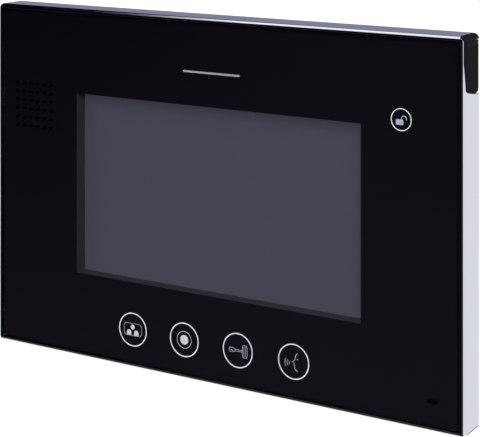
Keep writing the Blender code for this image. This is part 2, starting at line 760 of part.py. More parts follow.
def make_screws():
    case_screw = make_screw(
        "case_screw_1", CASE_SCREWS[0], 2.8 * MM, 1.2 * MM,
        FLANGE_BACK + GAP + 1.5 * MM, FLANGE_BACK + GAP, 6 * MM,
    )
    for index, centre in enumerate(CASE_SCREWS[1:], 2):
        copy_at(case_screw, f"case_screw_{index}", centre)
    board_screw = make_screw(
        "board_screw_1", BOARD_HOLES[0], 2.5 * MM, 1.05 * MM,
        BOARD_FRONT - GAP - 1.5 * MM, BOARD_FRONT - GAP, 20 * MM,
    )
    for index, centre in enumerate(BOARD_HOLES[1:], 2):
        copy_at(board_screw, f"board_screw_{index}", centre)


def make_speaker():
    """Grille cloth, foam ring, basket, surround, cone, voice coil and magnet. The profiles
    are (radius, depth) in millimetres; a ring's profile closes on itself."""
    cloth = GRILLE_OPENING - 2 * GAP
    cloth_back = HOUSING_FRONT + 0.4 * MM
    slab("speaker_mesh", "mesh_cloth", (cloth, cloth), HOUSING_FRONT, cloth_back, SPEAKER_CENTRE)
    gasket = [(14.5, 4.15), (14.5, 5.0), (13.0, 5.0), (13.0, 4.15)]
    basket = [
        (14.5, 5.3), (14.5, 6.5), (13.6, 6.5), (8.2, 10.2), (6.2, 10.2), (6.2, 9.3), (7.6, 9.3),
        (12.4, 6.3), (12.4, 5.3),
    ]
    surround = [(12.1, 5.6), (12.1, 6.0), (10.8, 5.7), (9.4, 6.0), (9.4, 5.6), (10.8, 5.3)]
    coil = [(4.2, 8.3), (4.2, 11.4), (3.8, 11.4), (3.8, 8.3)]
    cone = [(0.0, 7.5), (3.8, 7.5), (9.1, 5.6), (9.1, 6.0), (4.2, 8.0), (0.0, 8.0)]
    magnet = [
        (0.0, 9.4), (3.3, 9.4), (3.3, 12.2), (4.7, 12.2), (4.7, 10.5), (6.6, 10.5), (6.6, 14.2),
        (0.0, 14.2),
    ]
    for name, look, profile, is_ring in (
        ("speaker_gasket", "foam", gasket, True),
        ("speaker_frame", "plated_steel", basket, True),
        ("speaker_surround", "foam", surround, True),
        ("voice_coil", "copper_coil", coil, True),
        ("speaker_cone", "cone_paper", cone, False),
        ("speaker_magnet", "plated_steel", magnet, False),
    ):
        points = [(radius * MM, distance * MM) for radius, distance in profile]
        turned(name, look, points, SPEAKER_CENTRE, closed=is_ring)
    for colour, drop in (("red", 0.0), ("black", 2.5)):
        wire(f"speaker_wire_{colour}", f"{colour}_wire", [
            (-92.2, 8.8, 28.0 - drop), (-89.0, 11.5, 25.5 - drop), (-86.0, 15.5, 23.5 - drop),
            (-80.0, 17.7, 22.0 - drop), (-68.0, 17.7, 22.0 - drop),
        ])


def make_microphone():
    """The capsule in its rubber boot, behind the slot."""
    back = HOUSING_BACK + 3.6 * MM
    front = HOUSING_BACK + GAP
    drum("microphone", "plated_steel", 3.0 * MM, front + 0.6 * MM, back - 0.5 * MM, MIC_CENTRE, 20)
    boot = [(4.5 * MM, front), (4.5 * MM, back), (3.3 * MM, back), (3.3 * MM, front)]
    turned("microphone_boot", "black_rubber", boot, MIC_CENTRE, 20, closed=True)
    wire("microphone_wire", "black_wire", [
        (108, 8.3, -69.5), (104, 8.3, -66), (92, 10, -54), (86, 14, -44), (80, 17.7, -38),
        (70, 17.7, -36),
    ])


def toothed_circle(radius, tooth, count):
    points = []
    for step in range(4 * count):
        reach = radius if step % 4 < 2 else radius - tooth
        angle = math.tau * step / (4 * count)
        points.append((reach * math.cos(angle), reach * math.sin(angle)))
    return points


def circle(radius, sides):
    return [
        (radius * math.cos(math.tau * step / sides), radius * math.sin(math.tau * step / sides))
        for step in range(sides)
    ]


def make_adjusters():
    """Two thumbwheels on their potentiometers, and the small board that holds both."""
    board_front = WHEEL_BACK + 1.1 * MM
    board_centre = (WHEEL_X - 2.6 * MM, sum(WHEEL_ROWS) / 2)
    slab(
        "adjuster_board", "circuit_board", (11 * MM, 20 * MM), board_front, board_front + 0.8 * MM,
        board_centre, corner=0.5 * MM, steps=1,
    )
    for name, row in zip(WHEEL_NAMES, WHEEL_ROWS):
        centre = (WHEEL_X, row)
        post_front = WHEEL_FRONT - 0.4 * MM
        base_front = WHEEL_BACK + 0.25 * MM
        base_back = board_front - 0.25 * MM
        base_radius = 3.2 * MM
        post = [
            (0.0, post_front), (POST_RADIUS, post_front), (POST_RADIUS, base_front),
            (base_radius, base_front), (base_radius, base_back), (0.0, base_back),
        ]
        turned(f"{name}_potentiometer", "component_black", post, centre, 24)
        outlines = [
            toothed_circle(WHEEL_RADIUS, 0.35 * MM, WHEEL_TEETH),
            circle(POST_RADIUS + POST_CLEARANCE, 24),
        ]
        middle = (WHEEL_X, y_of((WHEEL_FRONT + WHEEL_BACK) / 2), row)
        flat_outline(
            f"{name}_wheel", "housing_plastic", outlines, WHEEL_BACK - WHEEL_FRONT, middle,
            (math.pi / 2, 0.0, 0.0),
        )


def make_flap():
    """The thin rubber flap. It keeps the band's outer shape, so it follows the rounded lip."""
    outline = [(y_of(FLAP_FRONT), FLAP_TOP, 0.0)]
    outline += [(y_of(distance), z, radius) for distance, z, radius in FLAP_CORNERS]
    outline.append((y_of(FLAP_BACK), FLAP_TOP, 0.0))
    inner_x = FRAME_WIDTH / 2 - FLAP_THICKNESS
    flap = make_side_plate("port_flap", "black_rubber", fillet(outline), inner_x)
    keep_inside(flap, make_band_solid("flap_limit", None))


def make_corner_strip():
    """The strip that wraps the band's upper right corner and carries the flap."""
    reach = 12 * MM
    left = FRAME_WIDTH / 2 - CORNER_STRIP_WIDTH
    bottom = FLAP_TOP + GAP
    strip = slab(
        "flap_corner_strip", "black_rubber", (reach, reach), CORNER_STRIP_FRONT, CORNER_STRIP_BACK,
        (left + reach / 2, bottom + reach / 2),
    )
    keep_inside(strip, make_band_solid("strip_limit", None))


def make_rear_cover():
    """The moulded back: a flange inside the band, and a tub that hangs on the bracket."""
    cover = slab(
        "rear_cover", "cover_plastic", (COVER_WIDTH, COVER_HEIGHT), COVER_FRONT, FLANGE_BACK,
        corner=GLASS_CORNER, steps=2,
    )
    tub_front = FLANGE_BACK - MM
    tub_size = (TUB_WIDTH, TUB_HEIGHT)
    join(cover, slab(
        "cover_tub", None, tub_size, tub_front, TUB_BACK, corner=TUB_CORNER, steps=4,
        rims=(0.0, 2.0 * MM),
    ))
    hollow_back = TUB_BACK - TUB_WALL
    skirt = (COVER_WIDTH - 2 * COVER_WALL, COVER_HEIGHT - 2 * COVER_WALL)
    tub = (TUB_WIDTH - 2 * TUB_WALL, TUB_HEIGHT - 2 * TUB_WALL)
    cut(
        cover,
        slab("cover_skirt_hollow", None, skirt, 2 * MM, FLANGE_FRONT),
        slab("cover_tub_hollow", None, tub, MM, hollow_back, corner=TUB_CORNER - TUB_WALL, steps=3),
    )
    join(cover, *[
        drum(f"cover_boss_{index}", None, BOSS_RADIUS, CHIP_FRONT, hollow_back + MM, centre, 16)
        for index, centre in enumerate(BOARD_HOLES)
    ])
    through = (hollow_back - 2 * MM, TUB_BACK + 2 * MM)
    holes = [
        drum(f"cover_board_hole_{index}", None, BOSS_HOLE, MM, hollow_back - 0.5 * MM, centre, 16)
        for index, centre in enumerate(BOARD_HOLES)
    ]
    holes += [
        drum(f"cover_screw_hole_{index}", None, BOSS_HOLE, FLANGE_FRONT - MM, 16 * MM, centre, 16)
        for index, centre in enumerate(CASE_SCREWS)
    ]
    holes += [
        slab(
            f"cover_vent_{group}_{step}", None, (2 * MM, 20 * MM), *through,
            (x + (step - (VENT_COUNT - 1) / 2) * 5 * MM, z),
        )
        for group, (x, z) in enumerate(VENT_GROUPS)
        for step in range(VENT_COUNT)
    ]
    slot_height = HOOK_LIP + 3 * MM
    holes += [
        slab(
            f"cover_hook_slot_{x > 0}_{z > 0}", None, (HOOK_WIDTH + 2 * MM, slot_height), *through,
            (x, z + STEEL + GAP - slot_height / 2),
        )
        for x in HOOK_COLUMNS
        for z in HOOK_ROWS
    ]
    bay_centre = (0.0, -26 * MM)
    holes.append(slab("cover_connector_bay", None, (54 * MM, 18 * MM), *through, bay_centre))
    port_size = (4 * MM, WHEEL_ROWS[0] - WHEEL_ROWS[1] + 2 * WHEEL_RADIUS + 0.8 * MM)
    port_centre = (COVER_WIDTH / 2, sum(WHEEL_ROWS) / 2)
    holes.append(slab(
        "cover_wheel_port", None, port_size, WHEEL_FRONT - 0.6 * MM, WHEEL_BACK + 0.6 * MM, port_centre
    ))
    cut(cover, *holes)


def make_bracket():
    """A pressed steel plate with four upturned hooks, screw slots and a cable window."""
    bracket = slab(
        "wall_bracket", "plated_steel", (BRACKET_WIDTH, BRACKET_HEIGHT), BRACKET_FRONT, TOTAL_DEPTH,
        BRACKET_CENTRE, corner=5 * MM, steps=3,
    )
    hooks = []
    for x in HOOK_COLUMNS:
        for z in HOOK_ROWS:
            neck = (HOOK_WIDTH, STEEL)
            lip = (HOOK_WIDTH, HOOK_LIP)
            tag = f"{x > 0}_{z > 0}"
            hooks += [
                slab(
                    f"hook_neck_{tag}", None, neck, HOOK_FRONT, BRACKET_FRONT + 0.6 * MM,
                    (x, z + STEEL / 2),
                ),
                slab(
                    f"hook_lip_{tag}", None, lip, HOOK_FRONT, HOOK_FRONT + STEEL,
                    (x, z + HOOK_LIP / 2),
                ),
            ]
    join(bracket, *hooks)
    through = (BRACKET_FRONT - 0.5 * MM, TOTAL_DEPTH + MM)
    holes = [
        slab("bracket_cable_window", None, CABLE_WINDOW, *through, CABLE_WINDOW_CENTRE, corner=3 * MM)
    ]
    holes += [
        slab(
            f"bracket_punch_{x > 0}_{z > 0}", None, (HOOK_WIDTH + MM, 8 * MM), *through,
            (x, z + STEEL + 5 * MM),
        )
        for x in HOOK_COLUMNS
        for z in HOOK_ROWS
    ]
    holes += [
        slab(
            f"bracket_slot_{x > 0}_{z > 0}", None, (9 * MM, 4.5 * MM), *through, (x, z),
            corner=2.2 * MM,
        )
        for x in (-30 * MM, 30 * MM)
        for z in (14 * MM, -46 * MM)
    ]
    cut(bracket, *holes)


def joint_empty(name, location, parent=None):
    empty = bpy.data.objects.new(name, None)
    empty.empty_display_size = 8 * MM
    empty.location = location
    parts.objects.link(empty)
    if parent:
        hang(empty, parent)
    return empty


def hang(thing, parent):
    """Parents an object and leaves it where it is."""
    bpy.context.view_layer.update()
    thing.parent = parent
    thing.matrix_parent_inverse = parent.matrix_world.inverted()


def make_joints():
    """Empties on the joint axes: the monitor lifts off the bracket, and carries the rest."""
    monitor = joint_empty("monitor_lift", (0.0, 0.0, 0.0))
    flap_middle = y_of((FLAP_FRONT + FLAP_BACK) / 2)
    flap = joint_empty("flap_hinge", (FRAME_WIDTH / 2, flap_middle, FLAP_TOP + GAP / 2), monitor)
    cone_place = (SPEAKER_CENTRE[0], y_of(CONE_CENTRE_DEPTH), SPEAKER_CENTRE[1])
    cone = joint_empty("cone_travel", cone_place, monitor)
    movers = {"port_flap": flap, "speaker_cone": cone, "voice_coil": cone}
    for name, row in zip(WHEEL_NAMES, WHEEL_ROWS):
        place = (WHEEL_X, y_of((WHEEL_FRONT + WHEEL_BACK) / 2), row)
        movers[f"{name}_wheel"] = joint_empty(f"{name}_turn", place, monitor)
    for thing in list(parts.objects):
        if thing.type != "EMPTY" and thing.name != "wall_bracket":
            hang(thing, movers.get(thing.name, monitor))


def main():
    make_glass()
    make_film()
    make_frame()
    make_housing()
    make_keys()
    make_display()
    make_boards()
    make_screws()
    make_speaker()
    make_microphone()
    make_adjusters()
    make_flap()
    make_corner_strip()
    make_rear_cover()
    make_bracket()
    make_joints()


clear_scene()
parts = new_collection("video_intercom_monitor")
cutters = new_collection("cutters")
cutters.hide_render = True
looks = make_looks()
main()
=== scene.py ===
"""The looks of a wall-hung video intercom monitor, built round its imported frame.

X runs to the viewer's right, Z up and Y into the wall, in metres. A depth is a distance
behind the front of the glass. Meshes hold their places in the frame's coordinates, so a
material's Object coordinates are metres in that frame.
"""

import math

import bmesh
import bpy
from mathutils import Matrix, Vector


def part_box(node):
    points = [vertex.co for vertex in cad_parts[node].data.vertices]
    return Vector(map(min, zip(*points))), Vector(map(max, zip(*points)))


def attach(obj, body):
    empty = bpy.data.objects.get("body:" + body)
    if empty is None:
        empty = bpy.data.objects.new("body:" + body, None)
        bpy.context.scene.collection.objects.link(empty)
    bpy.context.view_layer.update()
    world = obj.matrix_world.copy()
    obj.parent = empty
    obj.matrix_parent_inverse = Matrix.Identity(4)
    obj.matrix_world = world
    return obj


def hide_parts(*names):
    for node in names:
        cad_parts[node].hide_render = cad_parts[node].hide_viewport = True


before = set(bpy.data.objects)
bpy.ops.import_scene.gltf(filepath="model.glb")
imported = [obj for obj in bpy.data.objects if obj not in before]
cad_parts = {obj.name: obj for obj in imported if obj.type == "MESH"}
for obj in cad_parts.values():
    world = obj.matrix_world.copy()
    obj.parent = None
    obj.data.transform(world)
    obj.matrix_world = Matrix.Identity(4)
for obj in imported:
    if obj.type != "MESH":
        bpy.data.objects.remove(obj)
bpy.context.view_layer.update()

MM = 0.001

# Places that the frame gives
GLASS_LOW, GLASS_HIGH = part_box("front_glass")
FRONT = GLASS_LOW.y
GLASS_WIDTH = GLASS_HIGH.x - GLASS_LOW.x
GLASS_HEIGHT = GLASS_HIGH.z - GLASS_LOW.z
GLASS_THICKNESS = GLASS_HIGH.y - GLASS_LOW.y
BAND_LOW, BAND_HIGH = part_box("chrome_frame")
BAND_WIDTH = BAND_HIGH.x - BAND_LOW.x
BAND_HEIGHT = BAND_HIGH.z - BAND_LOW.z
BAND_DEPTH = BAND_HIGH.y - BAND_LOW.y
FLAP_LOW, FLAP_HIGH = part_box("port_flap")
STRIP_LOW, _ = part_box("flap_corner_strip")
CLOTH_LOW, CLOTH_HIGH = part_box("speaker_mesh")

# Chromed band
BAND_WALL = 2.2 * MM
BAND_CORNER = 2.4 * MM
LIP_RADIUS = 2.0 * MM
LIP_INNER = 0.15 * MM
BACK_RADIUS = 0.2 * MM
LEDGE_INSET = 6.2 * MM
LEDGE_FRONT = 4.15 * MM
LEDGE_BACK = 5.35 * MM

# Flap, let into the band under its strip. Its corners, as (depth, drop below its top edge,
# radius): where the front starts to lean back, the front corner, the lowest point, the back
FLAP_FRONT = 0.47 * MM
FLAP_CORNERS = (
    (FLAP_FRONT, 8.8 * MM, 0.0),
    (1.1 * MM, 20.8 * MM, 1.2 * MM),
    (9.6 * MM, 22.8 * MM, 3.0 * MM),
    (13.8 * MM, 21.9 * MM, 2.2 * MM),
)
FLAP_EDGE = 0.1 * MM
FIT = 0.25 * MM
FINGER_WINDOW = (6.0 * MM, 12.0 * MM)
FINGER_MARGIN = 1.5 * MM
FINGER_CORNER = 1.0 * MM
HINGE_GROOVE = 0.35 * MM

# Glass and film, with the openings through them
BEVEL_WIDTH = 1.6 * MM
BEVEL_DEPTH = 0.3 * MM
GLASS_CORNER = 0.5 * MM
GLASS_INDEX = 1.5
EDGE_SOFTNESS = 0.05 * MM
GRILLE_PITCH = 4.2 * MM
GRILLE_HOLE = 0.7 * MM
GRILLE_COUNT = 6
MIC_SLOT = (4.2 * MM, 1.7 * MM)
MIC_OPENING = (2.2 * MM, 1.4 * MM)
MIC_OPENING_CORNER = 0.6 * MM
WINDOW = (155.0 * MM, 87.2 * MM)
WINDOW_CORNER = 0.3 * MM
THROUGH_GLASS = (-1.0 * MM, 3.0 * MM)

# Grille cloth
CLOTH_PITCH = 0.5 * MM
CLOTH_THREAD = 0.12 * MM
POINTS_PER_THREAD = 4

# Printed marks, between the glass and the film
PRINT_FRONT = 1.2 * MM
PRINT_BACK = 1.26 * MM
NAME_BAR = (31.0 * MM, 0.9 * MM)
NAME_BAR_CORNER = 0.4 * MM
NAME_BAR_CENTRE = (-0.7 * MM, 58.9 * MM)
KEY_RING_RADIUS = 7.98 * MM
KEY_RING_LINE = 0.48 * MM
LOCK_RING_RADIUS = 4.9 * MM
LOCK_RING_LINE = 0.35 * MM

# Display: the pitch of its dots, its border that the window hides, and its painted glow
DOT_PITCH = 0.19 * MM
CELL_BORDER = 3.0 * MM
PAINTED_GLOW_DIM = (0.041, 0.0405, 0.0585)
PAINTED_GLOW_BRIGHT = (0.043, 0.0425, 0.0610)

# The moulded plastics and the rubber, each between a dark and a light shade
SKIRT_DARK = (0.012, 0.012, 0.014)
SKIRT_LIGHT = (0.015, 0.015, 0.018)
COVER_DARK = (0.022, 0.022, 0.025)
COVER_LIGHT = (0.034, 0.034, 0.037)
RUBBER_DARK = (0.0035, 0.0035, 0.0040)
RUBBER_LIGHT = (0.0048, 0.0048, 0.0054)

# Meshes: the least corner, the weld of packed facets, and the angles of an edge and a flat
LEAST_CORNER = 0.2 * MM
WELD = 0.001 * MM
CREASE = math.radians(38)
COPLANAR = math.radians(0.5)

# Camera, with a shifted lens that keeps the monitor's uprights upright, and the floor
CAMERA_PLACE = (0.3881, -0.6347, 0.1689)
CAMERA_TURN = math.radians(31.25)
CAMERA_LENS = 117.53
CAMERA_SHIFT = (-0.0118, -0.7988)
FLOOR_HEIGHT = -0.30
FLOOR_REACH = 20.0
FLOOR_GLOW = 0.97

# What reflections see of the studio
ROOM_DARK = (0.001, 0.001, 0.003)
ROOM_DIM = (0.027, 0.025, 0.028)
ROOM_LOW = (0.075, 0.069, 0.100)
ROOM_FLOOR = (0.024, 0.022, 0.028)
ROOM_BEHIND = (0.22, 0.236, 0.33)
ROOM_LEFT = (0.60, 0.60, 0.63)
ROOM_RIGHT = (0.80, 0.80, 0.80)
ROOM_FAR_RIGHT = (0.79, 0.80, 0.83)
ROOM_WHITE = (1.05, 1.05, 1.05)

# Where each colour lies, painted in this order over ROOM_DARK. A limit is (axis, start, full)
# on a reflection's direction, and the colour fades in from the start to the full value. The
# slanted axis runs along a wall that stands at an angle behind the monitor.
SLANT = 2.5
AHEAD = (("x", -0.24, -0.34), ("x", -0.72, -0.66))
ROOM_ZONES = (
    (ROOM_DIM, (("x", -0.63, -0.45), ("z", 0.02, -0.08), *AHEAD)),
    (ROOM_LOW, (("z", 0.05, -0.50), *AHEAD)),
    (ROOM_FLOOR, (("z", -0.37, -0.52),)),
    (ROOM_BEHIND, (("slanted", -0.98, -0.82), ("y", 0.0, 0.25))),
    (ROOM_LEFT, (("x", -0.60, -0.80), ("y", 0.45, 0.75))),
    (ROOM_RIGHT, (("x", 0.10, 0.30), ("y", -0.30, 0.10))),
    (ROOM_FAR_RIGHT, (("x", 0.24, 0.38),)),
    (ROOM_WHITE, (("z", 0.50, 0.66), ("x", -0.59, -0.51), ("y", 0.18, -0.02))),
    (ROOM_WHITE, (("z", -0.55, -0.75), ("y", -0.38, -0.16))),
)


# ---------------------------------------------------------------- node materials

class Nodes:
    """Shader nodes in one tree. The calls return sockets, so they can be nested."""

    def __init__(self, tree):
        self.tree = tree

    def node(self, kind, **settings):
        made = self.tree.nodes.new(kind)
        for key, value in settings.items():
            setattr(made, key, value)
        return made

    def feed(self, socket, value):
        """Links a socket to another, or gives it a plain value."""
        if isinstance(value, bpy.types.NodeSocket):
            self.tree.links.new(value, socket)
        elif isinstance(value, tuple) and len(value) == 3 and socket.type == "RGBA":
            socket.default_value = (*value, 1.0)
        else:
            socket.default_value = value

    def maths(self, operation, first, second=0.0, clamp=False):
        made = self.node("ShaderNodeMath", operation=operation, use_clamp=clamp)
        self.feed(made.inputs[0], first)
        self.feed(made.inputs[1], second)
        return made.outputs[0]

    def ramp(self, value, low, high, start=0.0, end=1.0):
        """Maps low..high smoothly to start..end."""
        made = self.node("ShaderNodeMapRange", interpolation_type="SMOOTHSTEP")
        self.feed(made.inputs["Value"], value)
        self.feed(made.inputs["From Min"], low)
        self.feed(made.inputs["From Max"], high)
        self.feed(made.inputs["To Min"], start)
        self.feed(made.inputs["To Max"], end)
        return made.outputs["Result"]

    def mix(self, share, first, second):
        """A colour between two. The node's colour sockets come after its plain ones."""
        made = self.node("ShaderNodeMix", data_type="RGBA")
        self.feed(made.inputs["Factor"], share)
        self.feed(made.inputs[6], first)
        self.feed(made.inputs[7], second)
        return made.outputs[2]

    def split(self, vector):
        made = self.node("ShaderNodeSeparateXYZ")
        self.feed(made.inputs[0], vector)
        return made.outputs


class Look(Nodes):
    """A node material in the making, on a Principled surface."""

    def __init__(self, name, colour=(0.5, 0.5, 0.5), roughness=0.5, metallic=0.0, specular=0.5):
        self.material = bpy.data.materials.new(name)
        self.material.use_nodes = True
        super().__init__(self.material.node_tree)
        self.surface = self.tree.nodes["Principled BSDF"]
        self.place = self.node("ShaderNodeTexCoord").outputs["Object"]
        self.colour(colour)
        self.put("Roughness", roughness)
        self.put("Metallic", metallic)
        self.put("Specular IOR Level", specular)

    def put(self, name, value):
        self.feed(self.surface.inputs[name], value)

    def colour(self, value):
        self.put("Base Color", value)

    def stretched(self, stretch):
        """Object coordinates, stretched along the axes so that a pattern runs along them."""
        mapping = self.node("ShaderNodeMapping")
        self.feed(mapping.inputs["Vector"], self.place)
        mapping.inputs["Scale"].default_value = stretch
        return mapping.outputs["Vector"]

    def noise(self, size, detail=3.0, stretch=(1.0, 1.0, 1.0)):
        """Noise from 0 to 1 whose blotches are about this size."""
        made = self.node("ShaderNodeTexNoise")
        self.feed(made.inputs["Vector"], self.stretched(stretch))
        made.inputs["Scale"].default_value = 1.0 / size
        made.inputs["Detail"].default_value = detail
        return made.outputs["Fac"]

    def cells(self, size):
        """The distance to the nearest of scattered points about this far apart."""
        made = self.node("ShaderNodeTexVoronoi")
        self.feed(made.inputs["Vector"], self.place)
        made.inputs["Scale"].default_value = 1.0 / size
        return made.outputs["Distance"]

    def axes(self):
        return self.split(self.place)

    def stripes(self, along, pitch):
        """A sine from -1 to 1 along one axis."""
        turns = self.maths("MULTIPLY", along, math.tau / pitch)
        return self.maths("SINE", turns)

    def worn_edges(self, radius):
        """1 on rounded-off edges, 0 on open faces."""
        bevel = self.node("ShaderNodeBevel", samples=4)
        bevel.inputs["Radius"].default_value = radius
        geometry = self.node("ShaderNodeNewGeometry")
        dot = self.node("ShaderNodeVectorMath", operation="DOT_PRODUCT")
        self.feed(dot.inputs[0], bevel.outputs["Normal"])
        self.feed(dot.inputs[1], geometry.outputs["Normal"])
        return self.ramp(dot.outputs["Value"], 0.995, 0.88)

    def bump(self, height, depth):
        """Relief of this depth in metres. Calls stack."""
        made = self.node("ShaderNodeBump")
        made.inputs["Strength"].default_value = 1.0
        made.inputs["Distance"].default_value = depth
        self.feed(made.inputs["Height"], height)
        before = self.surface.inputs["Normal"].links
        if before:
            self.feed(made.inputs["Normal"], before[0].from_socket)
        self.put("Normal", made.outputs["Normal"])


def moulded_plastic(name, dark, light, roughness, grain=0.35 * MM):
    """Injection-moulded plastic: spark-eroded grain, slow shade drift, edges rubbed lighter."""
    look = Look(name, roughness=roughness)
    drift = look.noise(18 * MM, 2.0)
    fine = look.noise(grain, 4.0)
    edge = look.maths("MULTIPLY", look.worn_edges(0.4 * MM), look.noise(3 * MM))
    body = look.mix(look.ramp(drift, 0.3, 0.7), dark, light)
    worn = tuple(2.4 * channel + 0.012 for channel in light)
    look.colour(look.mix(edge, body, worn))
    look.put("Roughness", look.ramp(fine, 0.2, 0.8, roughness - 0.08, roughness + 0.1))
    look.bump(fine, 0.012 * MM)
    return look


def inside_mask(look, low, high, margin):
    """One inside a box seen from the front, less a margin, and nought outside it."""
    x, _, z = look.axes()
    inside = 1.0
    for along, least, most in ((x, low.x, high.x), (z, low.z, high.z)):
        distance = look.maths("ABSOLUTE", look.maths("SUBTRACT", along, (least + most) / 2))
        reach = (most - least) / 2 - margin
        inside = look.maths("MULTIPLY", inside, look.maths("LESS_THAN", distance, reach))
    return inside


def chrome():
    """Bright plating: nearly a mirror, with polishing marks and faint haze. Past the lip's inner
    edge, the band's inside is coloured near-black: painted shade in the recess."""
    look = Look("bright_chrome", metallic=1.0)
    haze = look.noise(14 * MM, 3.0)
    marks = look.noise(0.5 * MM, 3.0, (0.12, 1.0, 0.12))
    # Painted shade: a mask of the band's inside, past the lip's inner edge, which is coloured
    # near-black.
    recess_shade = inside_mask(look, BAND_LOW, BAND_HIGH, BAND_WALL - LIP_INNER)
    plated = look.mix(haze, (0.80, 0.81, 0.86), (0.88, 0.88, 0.93))
    look.colour(look.mix(recess_shade, plated, (0.008, 0.008, 0.009)))
    smooth = look.ramp(haze, 0.3, 0.75, 0.035, 0.075)
    look.put("Roughness", look.maths("ADD", smooth, look.maths("MULTIPLY", marks, 0.03)))
    look.bump(marks, 0.0004 * MM)
    return look


def clear_sheet():
    """Glass that hides nothing: reflection by angle over plain transparency, faint smears.
    Rays pass unbent, so the index is turned over behind the faces to keep both sides alike."""
    look = Look("clear_sheet")
    output = next(node for node in look.tree.nodes if node.type == "OUTPUT_MATERIAL")
    look.tree.nodes.remove(look.surface)
    smears = look.noise(22 * MM, 4.0, (1.0, 1.0, 0.5))
    gloss = look.node("ShaderNodeBsdfGlossy")
    look.feed(gloss.inputs["Roughness"], look.ramp(smears, 0.35, 0.8, 0.02, 0.06))
    look.feed(gloss.inputs["Color"], (0.96, 0.97, 1.0))
    clear = look.node("ShaderNodeBsdfTransparent")
    look.feed(clear.inputs["Color"], (0.94, 0.95, 0.955))
    facing = look.node("ShaderNodeFresnel")
    behind = look.node("ShaderNodeNewGeometry").outputs["Backfacing"]
    look.feed(facing.inputs["IOR"], look.ramp(behind, 0.0, 1.0, GLASS_INDEX, 1.0 / GLASS_INDEX))
    blend = look.node("ShaderNodeMixShader")
    for socket, source in zip(blend.inputs, (facing, clear, gloss)):
        look.feed(socket, source.outputs[0])
    look.feed(output.inputs["Surface"], blend.outputs[0])
    return look


def ground_edge():
    """The drilled and ground walls of the glass, printed over: dull, dark and grainy."""
    look = Look("ground_edge", roughness=0.8, specular=0.0)
    grain = look.noise(0.15 * MM, 3.0)
    look.colour(look.mix(grain, (0.0001, 0.0001, 0.0002), (0.0006, 0.0006, 0.0008)))
    look.bump(grain, 0.01 * MM)
    return look


def printed_film():
    """Opaque black ink on a film: deep, slightly violet, with a barely seen mottle."""
    look = Look("printed_film", roughness=0.6, specular=0.0)
    mottle = look.noise(6 * MM, 3.0)
    look.colour(look.mix(mottle, (0.0008, 0.0007, 0.0015), (0.0014, 0.0013, 0.0023)))
    look.put("Roughness", look.ramp(mottle, 0.2, 0.8, 0.5, 0.7))
    look.bump(look.noise(0.2 * MM), 0.002 * MM)
    return look


def ink(name, colour):
    """Screen-printed ink: slightly uneven cover, fine edge grain."""
    look = Look(name, roughness=0.6, specular=0.1)
    cover = look.noise(0.5 * MM, 3.0)
    thin = tuple(0.9 * channel for channel in colour)
    look.colour(look.mix(look.ramp(cover, 0.3, 0.7), thin, colour))
    look.bump(look.noise(0.12 * MM), 0.002 * MM)
    return look


def display_cell():
    """The resting display: an even blue-grey painted glow behind its fine lines, and a dark border.
    """
    look = Look("display_cell", roughness=0.5, specular=0.1)
    x, _, z = look.axes()
    inside = inside_mask(look, *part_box("lcd_panel"), CELL_BORDER)
    lines = look.maths("MULTIPLY", look.stripes(x, DOT_PITCH / 3), look.stripes(z, DOT_PITCH))
    cloud = look.noise(60 * MM, 2.0)
    glow = look.mix(look.ramp(cloud, 0.2, 0.8), PAINTED_GLOW_DIM, PAINTED_GLOW_BRIGHT)
    lined = look.mix(look.ramp(lines, -1.0, 1.0, 0.0, 0.12), glow, (0.01, 0.01, 0.015))
    look.colour(look.mix(inside, (0.004, 0.004, 0.005), (0.016, 0.016, 0.019)))
    # Painted glow: emission that stands in for light falling on the resting display's cell.
    look.put("Emission Color", look.mix(inside, (0.0, 0.0, 0.0), lined))
    look.put("Emission Strength", 1.0)
    look.bump(look.noise(0.08 * MM), 0.002 * MM)
    return look


def brushed_steel(name, dark, light, roughness):
    """Plated sheet steel: rolling marks one way, spangle patches, rubbed edges."""
    look = Look(name, metallic=1.0, roughness=roughness)
    rolling = look.noise(0.4 * MM, 4.0, (0.05, 1.0, 1.0))
    spangle = look.cells(5 * MM)
    shade = look.maths("MULTIPLY", rolling, 0.6)
    blend = look.maths("ADD", shade, look.maths("MULTIPLY", spangle, 0.4), clamp=True)
    worn = tuple(min(1.0, 1.15 * channel) for channel in light)
    look.colour(look.mix(look.worn_edges(0.3 * MM), look.mix(blend, dark, light), worn))
    look.put("Roughness", look.ramp(rolling, 0.2, 0.8, roughness - 0.08, roughness + 0.12))
    look.bump(rolling, 0.004 * MM)
    return look


def soft_rubber(name, dark, light):
    """Moulded rubber: dead matt, dusty in patches, with a dull gleam along its edges."""
    look = Look(name)
    dust = look.noise(5 * MM, 4.0)
    fine = look.noise(0.25 * MM, 3.0)
    edge = look.worn_edges(0.3 * MM)
    body = look.mix(look.ramp(dust, 0.35, 0.75), dark, light)
    rubbed = tuple(1.8 * channel for channel in light)
    look.colour(look.mix(look.maths("MULTIPLY", edge, 0.5), body, rubbed))
    look.put("Specular IOR Level", look.ramp(edge, 0.0, 1.0, 0.02, 0.4))
    look.put("Roughness", look.ramp(dust, 0.2, 0.8, 0.6, 0.8))
    look.bump(fine, 0.006 * MM)
    return look


def circuit_board():
    """Green solder mask over copper tracks, with tinned pads."""
    look = Look("green_board", roughness=0.35)
    x, _, z = look.axes()
    tracks_x = look.ramp(look.stripes(x, 2.4 * MM), 0.75, 0.9)
    tracks_z = look.ramp(look.stripes(z, 3.1 * MM), 0.8, 0.93)
    fields = look.ramp(look.noise(11 * MM, 1.0), 0.48, 0.52)
    tracks = look.maths("ADD", look.maths("MULTIPLY", tracks_x, fields), tracks_z, clamp=True)
    pads = look.ramp(look.cells(3.0 * MM), 0.16, 0.12)
    mask = look.mix(tracks, (0.004, 0.045, 0.018), (0.012, 0.11, 0.04))
    look.colour(look.mix(pads, mask, (0.62, 0.62, 0.6)))
    look.put("Metallic", pads)
    look.bump(tracks, 0.02 * MM)
    return look


